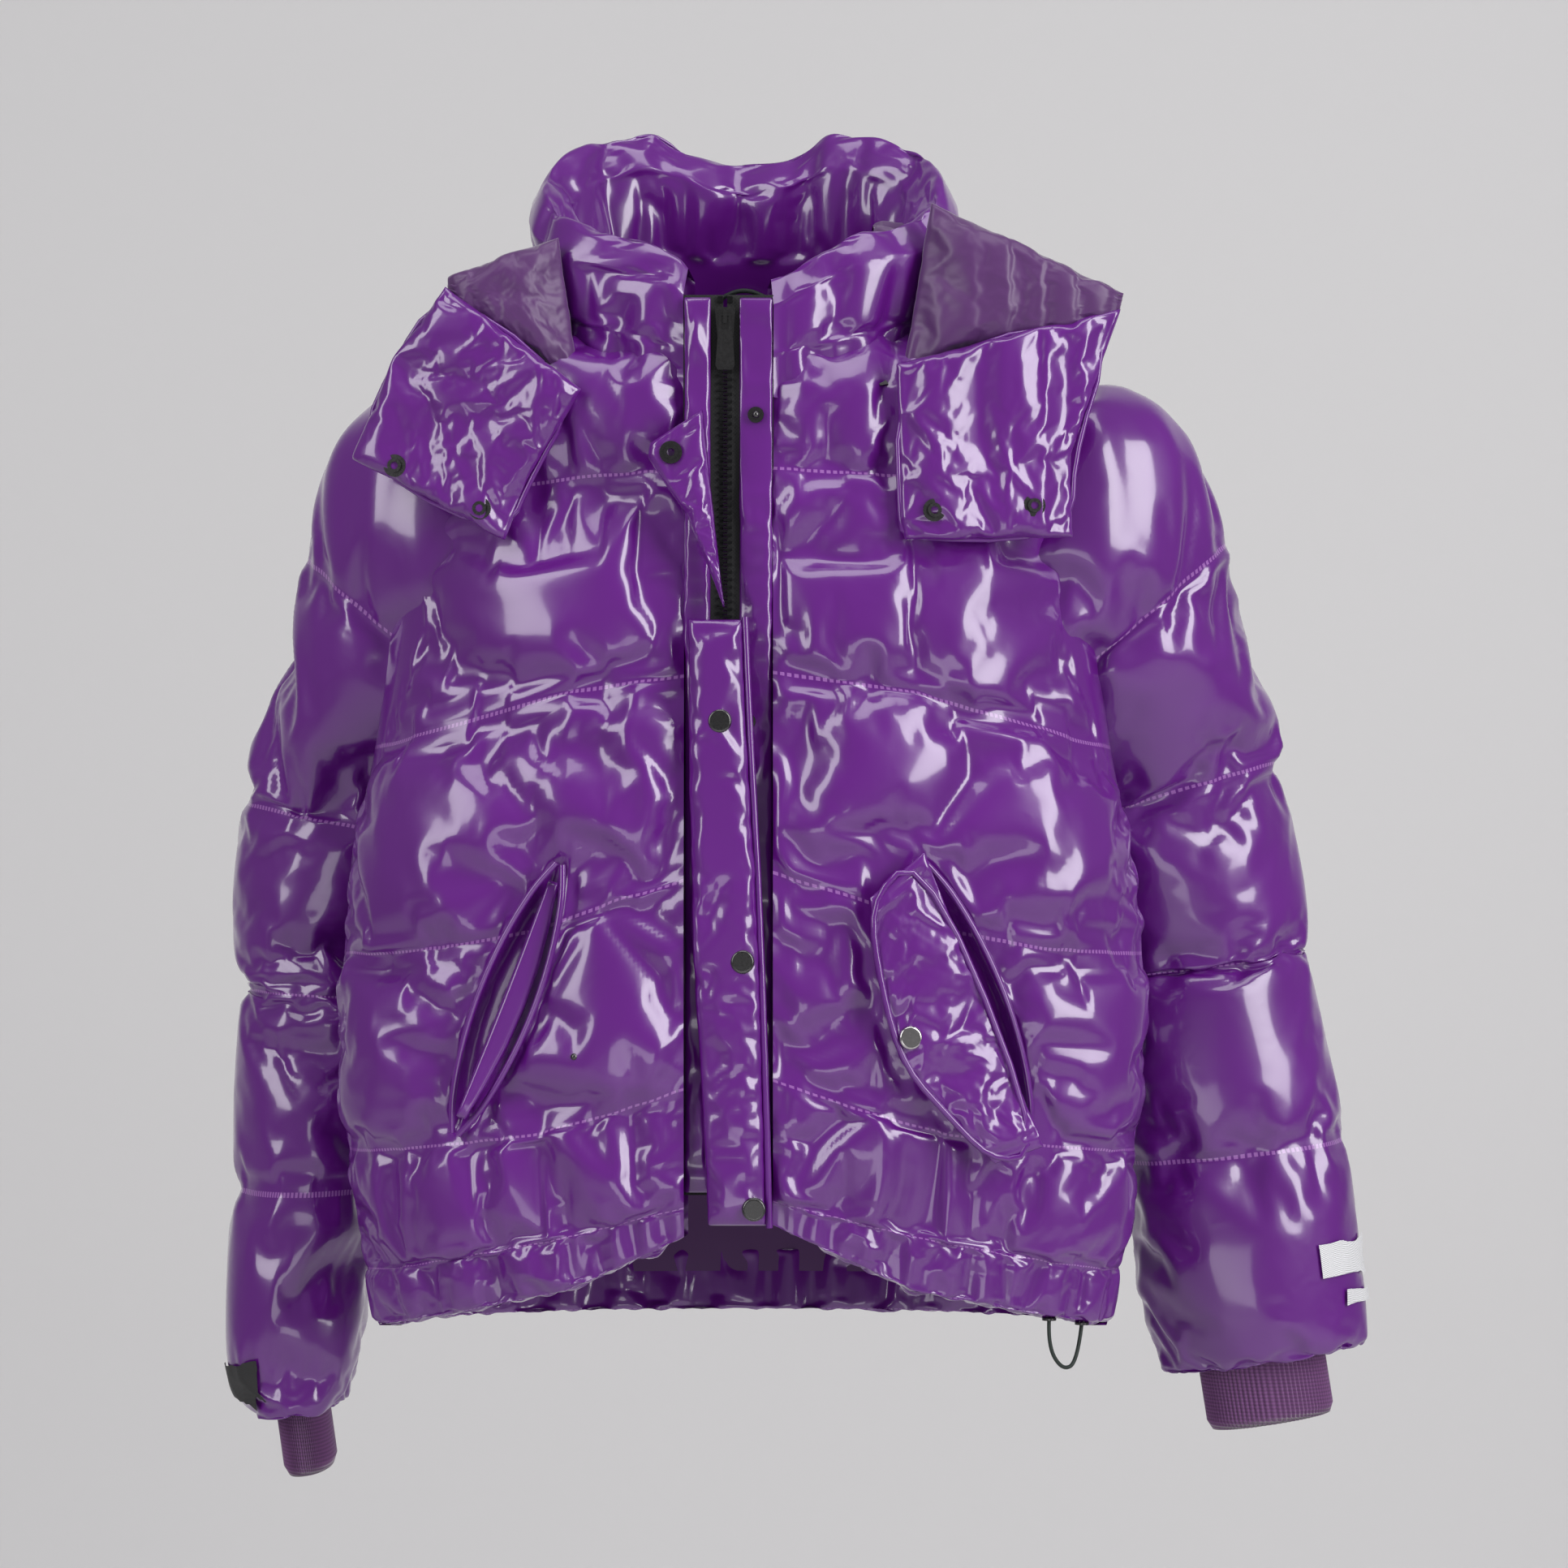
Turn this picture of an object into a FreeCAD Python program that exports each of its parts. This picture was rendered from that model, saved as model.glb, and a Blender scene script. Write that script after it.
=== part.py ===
import FreeCAD, Part

import math
import os

# Quilted ski jacket hanging by its neck loop. Millimetres. +Z is up, the front faces -Y,
# the wearer's right side is -X. The origin is the hanging loop inside the back of the neck.

V = FreeCAD.Vector

# ---- driving dimensions -------------------------------------------------------------------
GAP = 0.4                   # clearance between neighbouring pieces
SUPER = 2.2                 # exponent of the rounded body sections
PAD = 20.0                  # thickness of the padded body shell
SLEEVE_PAD = 15.0           # thickness of the padded sleeve shell
LINING = 1.2                # thickness of a lining
SIDE_Y = -75.0              # side seam plane between front and back
BACK_SEAM_Z = -645.0        # seam between back panel and its hem band
BACK_HEM_Z = -680.0         # bottom of the back hem band
HEM_X = (0.0, 110.0, 262.0)             # stations of the front hem, from centre to side
HEM_SEAM_Z = (-584.0, -612.0, -645.0)   # seam above the front hem band at those stations
HEM_EDGE_Z = (-594.0, -645.0, -680.0)   # bottom of the front hem band at those stations

# body sections: height, half width, front y, back y
TORSO = (
    (-700.0, 236.0, -186.0, 18.0),
    (-600.0, 252.0, -194.0, 28.0),
    (-500.0, 262.0, -200.0, 34.0),
    (-400.0, 258.0, -200.0, 35.0),
    (-300.0, 240.0, -192.0, 33.0),
    (-200.0, 230.0, -184.0, 31.0),
    (-120.0, 226.0, -180.0, 30.0),
    (-85.0, 220.0, -178.0, 29.0),
    (-66.0, 206.0, -174.0, 28.0),
    (-50.0, 170.0, -160.0, 27.0),
    (-34.0, 126.0, -140.0, 26.0),
)

# collar rings: centre y, centre z, half width, half depth, tilt about X in degrees
COLLAR_BASE = (-76.0, -51.5, 122.0, 108.0, 19.2)
COLLAR_TOP = (-97.0, 30.0, 128.0, 99.0, 33.0)
COLLAR_PAD = 22.0
COLLAR_BELOW = -0.4         # the collar's hollow runs past both ends of its wall
COLLAR_ABOVE = 1.4
HOOD_ZIP_ROOM = 21.0        # space round the collar's base for the hood's zip and its pull
PULL_LEAN = 58.0            # the hood pull leans this far outwards over the chest, in degrees

# main zip
ZIP_X = -10.0
ZIP_Y = -176.0
ZIP_TOP = -27.0
ZIP_BOTTOM = -586.0
ZIP_PITCH = 4.6
FRONT_LEFT_EDGE = 20.0      # inner edge of the left front panel
FRONT_RIGHT_EDGE = -36.0    # inner edge of the right front panel
SLIDER_Z = -44.0
PULL_EYE = V(ZIP_X, ZIP_Y - 5.9, SLIDER_Z + 4.0)      # pivot of the pull tab

# storm flap
FLAP_BACK_Y = -191.0
FLAP_FRONT_Y = -203.0
FLAP_HINGE_X = -33.0
SNAP_R = 7.3
SNAP_Z = (-292.0, -440.0, -592.0)
SNAP_CAP_X = (-13.0, 1.0, 8.0)
STUD_X = (4.0, 4.0, 8.0)

# slanted hand pockets, given for the left side and mirrored for the right
POCKET_TOP = V(112.0, 0.0, -380.0)
POCKET_END = V(178.0, 0.0, -548.0)
POCKET_MOUTH = 34.0         # width of the pocket mouth
POCKET_BAG = (112.0, 27.0, 165.0)
POCKET_WALL = 1.4
POCKET_BACK = 7.5           # gap between the body's inner surface and the bag
POCKET_DROP = 15.0          # the bag's middle is this far below the mouth's
FLAP_TURN = 12.0            # turn of the closed pocket flap about Z, in degrees
FLAP_AT = V(78.0, -203.5, 0.0)
FLAP_SNAP = (103.4, -486.5)

# sleeves: centre x (away from the middle), y, z, half width, half depth, tilt about Y in degrees
UPPER_LEFT = (
    (185.0, -76.0, -170.0, 106.0, 60.0, 80.0),
    (230.0, -70.0, -190.0, 102.0, 62.0, 62.0),
    (256.0, -36.0, -252.0, 86.0, 60.0, 36.0),
    (284.0, 8.0, -335.0, 78.0, 54.0, 14.0),
    (300.0, 22.0, -420.0, 77.0, 52.0, 6.0),
)
FORE_LEFT = (
    (308.0, 22.0, -480.0, 77.0, 51.0, 5.0),
    (326.0, 22.0, -570.0, 77.0, 50.0, 5.0),
    (338.0, 22.0, -660.0, 78.0, 48.0, 6.0),
    (347.0, 22.0, -714.0, 70.0, 42.0, 9.0),
)
UPPER_RIGHT = (
    (150.0, -76.0, -168.0, 98.0, 60.0, 82.0),
    (206.0, -70.0, -190.0, 100.0, 62.0, 62.0),
    (228.0, -36.0, -252.0, 78.0, 60.0, 36.0),
    (266.0, 10.0, -335.0, 68.0, 60.0, 12.0),
    (284.0, 24.0, -420.0, 54.0, 62.0, 4.0),
)
FORE_RIGHT = (
    (285.0, 24.0, -480.0, 50.0, 64.0, 0.0),
    (290.0, 24.0, -570.0, 48.0, 66.0, 0.0),
    (298.0, 24.0, -690.0, 43.0, 66.0, 0.0),
    (297.0, 24.0, -746.0, 31.0, 58.0, -8.0),
)
ELBOW_LEFT_Z = -452.0
ELBOW_RIGHT_Z = -470.0

# hood
WING_THICK = 17.0
WING_TURN = 8.3             # turn of each hood wing about Z, in degrees
WING_Y = -176.0             # back face of a wing at its inner edge
WING_X = 94.0
CROWN_PAD = 13.0
HOOD_SLIDER = V(80.0, -163.1, -70.6)      # on the hood zip, at its left front end
HOOD_ZIP_TURN = FreeCAD.Rotation(V(1, 0, 0), 21.5).multiply(FreeCAD.Rotation(V(0, 0, 1), 32.2))

# hem cord
CORD_R = 1.25
CORD_INSET = 10.0
EYELET_DEGREES = (-36.0, -24.0)     # where the cord leaves the hem, on the left front
HIDDEN_CORD_STEP = 12.0

# hanging loop: distance from the middle and height along its arch
LOOP_R = 1.6
LOOP_ARCH = ((-20.0, -24.5), (-18.0, -9.0), (0.0, -LOOP_R), (18.0, -9.0), (20.0, -24.5))
LOOP_LEAN = 0.3956          # slope of the collar's lining at the back of the neck
LOOP_FORWARD = 10.0         # the loop's top, in front of the line the garment is drawn about

# ribbed cuffs: half width and half depth at the sleeve's end
CUFF_HALF = {"left": (42.0, 24.0), "right": (15.5, 40.0)}
CUFF_WALL = 3.0
CUFF_HIDDEN = 34.0
CUFF_SHOWN = 44.0


# ---- helpers ------------------------------------------------------------------------------
def save(name, shape):
    """Write one piece, moved so that the top of the hanging loop is the origin."""
    placed = shape.copy()
    placed.translate(V(0, LOOP_FORWARD, 0))
    placed.exportStep("parts/%s.step" % name)
    print("%-24s volume %9.1f cm3  solids %d" % (name, shape.Volume / 1000.0, len(shape.Solids)))


def box(x0, x1, y0, y1, z0, z1):
    """Axis-aligned block between two corners."""
    return Part.makeBox(x1 - x0, y1 - y0, z1 - z0, V(x0, y0, z0))


def ring(centre, u, v, a, b, power=SUPER, count=20):
    """Closed rounded section, half sizes a along u and b along v."""
    points = []
    for i in range(count):
        t = 2.0 * math.pi * i / count
        c = math.copysign(abs(math.cos(t)) ** (2.0 / power), math.cos(t))
        s = math.copysign(abs(math.sin(t)) ** (2.0 / power), math.sin(t))
        points.append(centre + u * (a * c) + v * (b * s))
    curve = Part.BSplineCurve()
    curve.interpolate(Points=points, PeriodicFlag=True)
    return Part.Wire([curve.toShape()])


def loft(wires):
    """Solid through closed sections, made span by span."""
    spans = [Part.makeLoft([low, high], True, True) for low, high in zip(wires, wires[1:])]
    if len(spans) == 1:
        return spans[0]
    return spans[0].multiFuse(spans[1:])


def torso_size(z):
    """Half width, centre y and half depth of the body at a height."""
    for low, high in zip(TORSO, TORSO[1:]):
        if low[0] <= z <= high[0]:
            k = (z - low[0]) / (high[0] - low[0])
            half, front, back = (p + (q - p) * k for p, q in zip(low[1:], high[1:]))
            return half, (front + back) / 2.0, (back - front) / 2.0
    raise ValueError("height outside the body")


def torso_y(x, z, inset=0.0):
    """y of the front surface at x and z, inset towards the inside."""
    half, middle, deep = torso_size(z)
    share = 1.0 - (abs(x) / (half - inset)) ** SUPER
    return middle - (deep - inset) * share ** (1.0 / SUPER)


def torso_solid(inset):
    """Body volume, shrunk by inset on every side."""
    wires = []
    for z, half, front, back in TORSO:
        centre = V(0, (front + back) / 2.0, z)
        deep = (back - front) / 2.0
        wires.append(ring(centre, V(1, 0, 0), V(0, 1, 0), half - inset, deep - inset))
    return loft(wires)


def collar_ring(share, inset):
    """Tilted collar ring at a share of the way from base to top."""
    y, z, a, b, tilt = (p + (q - p) * share for p, q in zip(COLLAR_BASE, COLLAR_TOP))
    t = math.radians(tilt)
    return ring(V(0, y, z), V(1, 0, 0), V(0, math.cos(t), math.sin(t)), a - inset, b - inset)


def collar_solid(inset, start=0.0, end=1.0):
    return loft([collar_ring(start, inset), collar_ring(end, inset)])


def sleeve_solid(rows, inset, power=SUPER):
    """Sleeve volume through tilted sections, shrunk by inset."""
    wires = []
    for x, y, z, a, b, tilt in rows:
        t = math.radians(tilt)
        side = V(math.cos(t), 0, math.sin(t))
        wires.append(ring(V(x, y, z), side, V(0, 1, 0), a - inset, b - inset, power))
    return loft(wires)


def on_side(shape, side):
    """The shape as it is for the left side, or mirrored for the right side."""
    return shape if side > 0 else shape.mirror(V(0, 0, 0), V(1, 0, 0))


def prism_y(points, y0, y1):
    """Outline of (x, z) points, extruded from y0 to y1."""
    wire = Part.makePolygon([V(x, y0, z) for x, z in points] + [V(points[0][0], y0, points[0][1])])
    return Part.Face(wire).extrude(V(0, y1 - y0, 0))


def cylinder(radius, height, base, axis):
    return Part.makeCylinder(radius, height, base, axis)


def snap_socket(base, axis, radius=SNAP_R):
    """Flat ring with a rolled inner lip, standing on base along axis."""
    flange = cylinder(radius, 1.2, base, axis)
    lip = cylinder(radius * 0.62, 2.4, base, axis)
    return flange.fuse(lip).cut(cylinder(radius * 0.34, 6.0, base + axis * -1.0, axis))


def snap_stud(base, axis):
    """Press stud: a round flange with a rounded post."""
    flange = cylinder(5.0, 1.0, base, axis)
    post = cylinder(2.0, 3.2, base, axis)
    head = Part.makeSphere(2.3, base + axis * 2.6)
    return flange.fuse(post).fuse(head)


def snap_cap(base, axis, radius=SNAP_R):
    """Domed cap of a press stud."""
    disc = cylinder(radius, 2.6, base, axis)
    rim = [e for e in disc.Edges if isinstance(e.Curve, Part.Circle)]
    top = [e for e in rim if (e.Curve.Center - base).dot(axis) > 1.0]
    return disc.makeFillet(1.6, top)


def rounded_route(points):
    """Wire of straight runs joined by tangent arcs, and its bend radii."""
    edges = []
    radii = []
    start = points[0]
    for before, corner, after in zip(points, points[1:], points[2:]):
        one = (before - corner).normalize()
        two = (after - corner).normalize()
        half_turn = (math.pi - one.getAngle(two)) / 2.0
        reach = 0.45 * min(before.distanceToPoint(corner), after.distanceToPoint(corner))
        radius = reach / math.tan(half_turn)
        first = corner + one * reach
        last = corner + two * reach
        bisector = (one + two).normalize()
        middle = corner + bisector * (radius / math.cos(half_turn) - radius)
        edges.append(Part.LineSegment(start, first).toShape())
        edges.append(Part.Arc(first, middle, last).toShape())
        radii.append(radius)
        start = last
    edges.append(Part.LineSegment(start, points[-1]).toShape())
    return Part.Wire(edges), radii


def tube(points, radius):
    """Round tube along a rounded route."""
    wire, radii = rounded_route(points)
    heading = (points[1] - points[0]).normalize()
    profile = Part.Wire([Part.makeCircle(radius, points[0], heading)])
    return wire.makePipeShell([profile], True, False), wire, radii


# ---- body ---------------------------------------------------------------------------------
def hem_outline(heights, side):
    """(x, z) points of a front hem line on one side."""
    return [(side * x, z) for x, z in zip(HEM_X, heights)]


def neck_column():
    """Space taken by the collar and by the hood's zip round it, above the collar's base."""
    return collar_solid(-HOOD_ZIP_ROOM, 0.0, 1.6)


def pocket_slot(side, grow=0.0):
    """Slanted rounded prism of a pocket mouth, through the front panel."""
    top = V(side * POCKET_TOP.x, 0, POCKET_TOP.z)
    end = V(side * POCKET_END.x, 0, POCKET_END.z)
    along = (end - top).normalize()
    across = V(along.z, 0, -along.x) * (POCKET_MOUTH / 2.0 + grow)
    stretch = along * grow
    corners = (top + across - stretch, end + across + stretch,
               end - across + stretch, top - across - stretch)
    return [(p.x, p.z) for p in corners]


def pocket_frame(side):
    """Placement of the pocket bag: turned to lie along the body's inner surface."""
    middle = (POCKET_TOP + POCKET_END) * 0.5
    x = side * (middle.x - 6.0)
    turn = side * 13.0
    y = torso_y(x, middle.z, PAD) + LINING + GAP
    return FreeCAD.Placement(V(x, y, middle.z), FreeCAD.Rotation(V(0, 0, 1), turn))


def pocket_block(side, grow=0.0):
    """Outer block of a pocket bag, larger or smaller by grow on every side."""
    wide, deep, tall = POCKET_BAG
    block = Part.makeBox(wide + 2 * grow, deep + 2 * grow, tall + 2 * grow,
                         V(-wide / 2 - grow, POCKET_BACK - grow, -tall / 2 - POCKET_DROP - grow))
    block.Placement = pocket_frame(side)
    return block


def body_shells():
    """Padded shell and lining with neck, armholes, front opening and pockets cut out."""
    outer = torso_solid(0.0)
    inner = torso_solid(PAD)
    padded = outer.cut(inner)
    lining = torso_solid(PAD + GAP).cut(torso_solid(PAD + GAP + LINING))
    cutters = [neck_column()]
    cutters.append(sleeve_solid(UPPER_LEFT, SLEEVE_PAD))
    cutters.append(on_side(sleeve_solid(UPPER_RIGHT, SLEEVE_PAD), -1))
    cutters.append(box(FRONT_RIGHT_EDGE - GAP, FRONT_LEFT_EDGE + GAP, -240, -100, -720, 0))
    for side in (-1, 1):
        cutters.append(prism_y(pocket_slot(side), -230, -120))
    for side in (-1, 1):
        cutters.append(pocket_block(side, GAP))
    for cutter in cutters:
        padded = padded.cut(cutter)
        lining = lining.cut(cutter)
    return padded, lining


def front_region(side, above):
    """Prism holding one front panel, or its hem band when above is False."""
    edge = FRONT_LEFT_EDGE if side > 0 else FRONT_RIGHT_EDGE
    seam = hem_outline(HEM_SEAM_Z, side)
    inner_x = edge + side * GAP
    seam = [(inner_x, seam[0][1] + (seam[1][1] - seam[0][1]) * abs(inner_x) / HEM_X[1])] + seam[1:]
    seam.append((side * 320.0, seam[-1][1]))
    if above:
        outline = [(x, z + GAP) for x, z in seam] + [(side * 320.0, 0.0), (inner_x, 0.0)]
    else:
        low = hem_outline(HEM_EDGE_Z, side)
        low = [(inner_x, low[0][1] + (low[1][1] - low[0][1]) * abs(inner_x) / HEM_X[1])] + low[1:]
        low.append((side * 320.0, low[-1][1]))
        outline = seam + low[::-1]
    return prism_y(outline, -260.0, SIDE_Y)


def largest(shape):
    """The biggest solid of a shape, so that slivers are dropped."""
    return max(shape.Solids, key=lambda s: s.Volume)


def build_body():
    padded, lining = body_shells()
    back_space = box(-320, 320, SIDE_Y + GAP, 120, BACK_SEAM_Z + GAP, 0)
    save("back_panel", largest(padded.common(back_space)))
    save("front_panel_left", largest(padded.common(front_region(1, True))))
    save("front_panel_right", largest(padded.common(front_region(-1, True))))
    keep = front_region(1, True).fuse(front_region(-1, True)).fuse(
        box(-320, 320, SIDE_Y, 120, BACK_SEAM_Z + GAP, 0))
    save("body_lining", largest(lining.common(keep)))


def ring_point(angle, z, inset):
    """Point on the body section at an angle from +X, counted towards the back."""
    half, middle, deep = torso_size(z)
    c = math.cos(angle)
    s = math.sin(angle)
    x = math.copysign(abs(c) ** (2.0 / SUPER), c) * (half - inset)
    y = math.copysign(abs(s) ** (2.0 / SUPER), s) * (deep - inset)
    return V(x, middle + y, z)


def hem_middle(x):
    """Height of the middle of the front hem band at a distance from the centre."""
    x = abs(x)
    middles = [(a + b) / 2.0 for a, b in zip(HEM_SEAM_Z, HEM_EDGE_Z)]
    i = 0 if x <= HEM_X[1] else 1
    k = (x - HEM_X[i]) / (HEM_X[i + 1] - HEM_X[i])
    return middles[i] + (middles[i + 1] - middles[i]) * k


def cord_station(degrees):
    """Point of the hidden hem cord at an angle round the body, 0 at the left side."""
    t = math.radians(degrees)
    flat = ring_point(t, BACK_HEM_Z + 18.0, CORD_INSET)
    z = BACK_HEM_Z + 18.0 if flat.y > SIDE_Y else hem_middle(flat.x)
    return ring_point(t, z, CORD_INSET)


def eyelet_base(degrees):
    """Point on the underside of the left front hem band under the hidden cord."""
    p = cord_station(degrees)
    k = (p.x - HEM_X[1]) / (HEM_X[2] - HEM_X[1])
    return V(p.x, p.y, HEM_EDGE_Z[1] + (HEM_EDGE_Z[2] - HEM_EDGE_Z[1]) * k)


def hidden_cord_routes():
    """The two hidden stretches: to the front centre, and round the back to the right front."""
    def stations(first, last):
        count = int(round(abs(last - first) / HIDDEN_CORD_STEP))
        return [cord_station(first + (last - first) * i / count) for i in range(count + 1)]
    return [stations(-42.0, -78.0), stations(-18.0, 258.0)]


def build_hem():
    outer = torso_solid(0.0)
    shell = outer.cut(torso_solid(PAD))
    shell = shell.cut(box(FRONT_RIGHT_EDGE - GAP, FRONT_LEFT_EDGE + GAP, -240, -100, -720, 0))
    cords = []
    tunnels = []
    for route in hidden_cord_routes():
        cords.append(tube(route, CORD_R)[0])
        tunnels.append(tube(route, CORD_R + GAP)[0])
    for tunnel in tunnels:
        shell = shell.cut(tunnel)
    left = shell.common(front_region(1, False))
    save("hem_band_left", largest(left))
    save("hem_band_right", largest(shell.common(front_region(-1, False))))
    back = box(-320, 320, SIDE_Y + GAP, 120, BACK_HEM_Z, BACK_SEAM_Z)
    save("hem_band_back", largest(shell.common(back)))
    save("hem_drawcord", Part.makeCompound(cords))
    eyelets = []
    for degrees in EYELET_DEGREES:
        base = eyelet_base(degrees) + V(0, 0, -4.0)
        ring_shape = cylinder(4.5, 1.4, base, V(0, 0, 1))
        eyelets.append(ring_shape.cut(cylinder(CORD_R + GAP, 4.0, base + V(0, 0, -1), V(0, 0, 1))))
    save("hem_eyelets", Part.makeCompound(eyelets))


def build_cord_loop():
    """Loop of elastic cord hanging out of the two hem eyelets."""
    a, b = (eyelet_base(d) + V(0, 0, -3.0) for d in EYELET_DEGREES)
    across = b - a
    route = [
        a,
        a + across * -0.05 + V(0, -2, -17.0),
        a + across * 0.38 + V(0, -5, -31.0),
        a + across * 0.85 + V(0, -4, -25.0),
        b,
    ]
    shape, wire, radii = tube(route, CORD_R)
    print("cord loop radii", [round(r, 1) for r in radii], "length", round(wire.Length, 1),
          "volume check", round(shape.Volume / (math.pi * CORD_R ** 2 * wire.Length), 4))
    print("cord loop route", [tuple(round(c, 2) for c in p) for p in route])
    save("hem_cord_loop", shape)


# ---- collar -------------------------------------------------------------------------------
def build_collar():
    channel = box(FRONT_RIGHT_EDGE - GAP, FRONT_LEFT_EDGE + GAP, -260, -100, -140, 60)
    outer = collar_solid(0.0)
    padded = outer.cut(collar_solid(COLLAR_PAD, COLLAR_BELOW, COLLAR_ABOVE)).cut(channel)
    save("collar", largest(padded))
    lining = outer.common(collar_solid(COLLAR_PAD + GAP, COLLAR_BELOW, COLLAR_ABOVE))
    lining = lining.cut(collar_solid(COLLAR_PAD + GAP + LINING, COLLAR_BELOW, COLLAR_ABOVE))
    save("collar_lining", largest(lining.cut(channel)))


def build_hang_loop():
    """Arched cord loop at the back of the neck, lying along the collar's lining."""
    points = []
    for x, z in LOOP_ARCH:
        points.append(V(x, -LOOP_FORWARD - LOOP_LEAN * (z + LOOP_R), z))
    save("hang_loop", tube(points, LOOP_R)[0])


# ---- main zip -----------------------------------------------------------------------------
def build_zip():
    tape = 0.9
    save("zip_tape_right", box(FRONT_RIGHT_EDGE, ZIP_X - 1.2, ZIP_Y - tape / 2, ZIP_Y + tape / 2,
                               ZIP_BOTTOM, ZIP_TOP))
    save("zip_tape_left", box(ZIP_X + 1.2, FRONT_LEFT_EDGE, ZIP_Y - tape / 2, ZIP_Y + tape / 2,
                              ZIP_BOTTOM, ZIP_TOP))
    count = int((SLIDER_Z - ZIP_BOTTOM - 16.0) / ZIP_PITCH)
    for side, name in ((1, "zip_teeth_left"), (-1, "zip_teeth_right")):
        teeth = []
        for i in range(count):
            z = ZIP_BOTTOM + 12.0 + (i + 0.25 + 0.25 * side) * ZIP_PITCH
            near = ZIP_X + side * 1.0 - side * 2.0
            far = ZIP_X + side * 4.2
            for y0, y1 in ((-2.9, -tape / 2), (tape / 2, 2.9)):
                teeth.append(box(min(near, far), max(near, far), ZIP_Y + y0, ZIP_Y + y1,
                                 z - 0.75, z + 0.75))
        save(name, Part.makeCompound(teeth))
    stops = []
    for side in (-1, 1):
        x = ZIP_X + side * 3.0
        stops.append(box(x - 1.6, x + 1.6, ZIP_Y - 2.4, ZIP_Y - tape / 2, ZIP_TOP - 5.0, ZIP_TOP - 1.0))
    save("zip_top_stops", Part.makeCompound(stops))
    retainer = box(ZIP_X - 7, ZIP_X + 7, ZIP_Y - 3.6, ZIP_Y - tape / 2 - 0.1, ZIP_BOTTOM,
                   ZIP_BOTTOM + 10.5)
    save("zip_retainer", retainer)


def build_slider():
    """Slider made of a front and a back plate round the chain, and its hanging pull tab."""
    top = SLIDER_Z + 9.0
    low = SLIDER_Z - 9.0
    outline = [(ZIP_X - 6.4, top), (ZIP_X + 6.4, top), (ZIP_X + 4.9, low), (ZIP_X - 4.9, low)]
    face = ZIP_Y - 4.6
    front = prism_y(outline, face, ZIP_Y - 3.3)
    back = prism_y(outline, ZIP_Y + 3.3, ZIP_Y + 4.6)
    arch = box(ZIP_X - 1.2, ZIP_X + 1.2, face - 3.6, face, PULL_EYE.z - 5.0, PULL_EYE.z + 3.5)
    arch = arch.cut(box(ZIP_X - 3, ZIP_X + 3, face - 2.6, face, PULL_EYE.z - 4.0, PULL_EYE.z + 2.5))
    save("zip_slider", Part.makeCompound([front.fuse(arch), back]))
    eye = PULL_EYE
    half = 0.5              # half thickness of the tab
    bar = 0.6               # half height of the bar that the arch holds
    plate = prism_y([(eye.x - 3.6, eye.z + bar), (eye.x + 3.6, eye.z + bar), (eye.x + 6.0, eye.z - 31.0),
                     (eye.x + 4.6, eye.z - 34.0), (eye.x - 4.6, eye.z - 34.0), (eye.x - 6.0, eye.z - 31.0)],
                    eye.y - half, eye.y + half)
    window = box(eye.x - 2.2, eye.x + 2.2, eye.y - 3, eye.y + 3, eye.z - 9.0, eye.z - bar)
    save("zip_pull", plate.cut(window))


def build_facings():
    """Narrow padded facings on both sides of the zip, in front of its tapes."""
    right = box(FRONT_RIGHT_EDGE, ZIP_X - 8.2, ZIP_Y - 9.0, ZIP_Y - 0.9, ZIP_BOTTOM, ZIP_TOP)
    left = box(ZIP_X + 8.2, FRONT_LEFT_EDGE, ZIP_Y - 6.0, ZIP_Y - 0.9, ZIP_BOTTOM, ZIP_TOP)
    save("zip_facing_right", right)
    save("zip_facing_left", left)
    face = ZIP_Y - 6.0 - 0.1
    studs = [snap_stud(V(x, face, z), V(0, -1, 0)) for x, z in zip(STUD_X, SNAP_Z)]
    studs.append(snap_stud(V(9.0, face, -102.0), V(0, -1, 0)))
    save("front_studs", Part.makeCompound(studs))


# ---- storm flap ---------------------------------------------------------------------------
def build_storm_flap():
    strip = prism_y([(FLAP_HINGE_X, -228.0), (2.0, -228.0), (5.0, -300.0), (13.0, -440.0), (17.0, -604.0),
                     (-21.0, -604.0), (-30.0, -440.0), (FLAP_HINGE_X, -330.0)],
                    FLAP_FRONT_Y, FLAP_BACK_Y)
    save("storm_flap", strip)
    corner = prism_y([(-23.0, -99.0), (-57.0, -121.0), (-58.0, -130.0), (-34.0, -165.0), (-10.0, -222.0)],
                     FLAP_FRONT_Y, FLAP_BACK_Y)
    save("storm_flap_corner", corner)
    caps = []
    sockets = []
    for x, z in zip(SNAP_CAP_X, SNAP_Z):
        caps.append(snap_cap(V(x, FLAP_FRONT_Y - 0.1, z), V(0, -1, 0)))
        flange = cylinder(5.6, 1.0, V(x, FLAP_BACK_Y + 0.1, z), V(0, 1, 0))
        sockets.append(flange.cut(cylinder(2.7, 6.0, V(x, FLAP_BACK_Y - 1, z), V(0, 1, 0))))
    save("storm_flap_caps", Part.makeCompound(caps))
    save("storm_flap_sockets", Part.makeCompound(sockets))
    save("storm_flap_corner_socket", snap_socket(V(-43.0, FLAP_FRONT_Y - 0.1, -127.0), V(0, -1, 0), 7.0))


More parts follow.
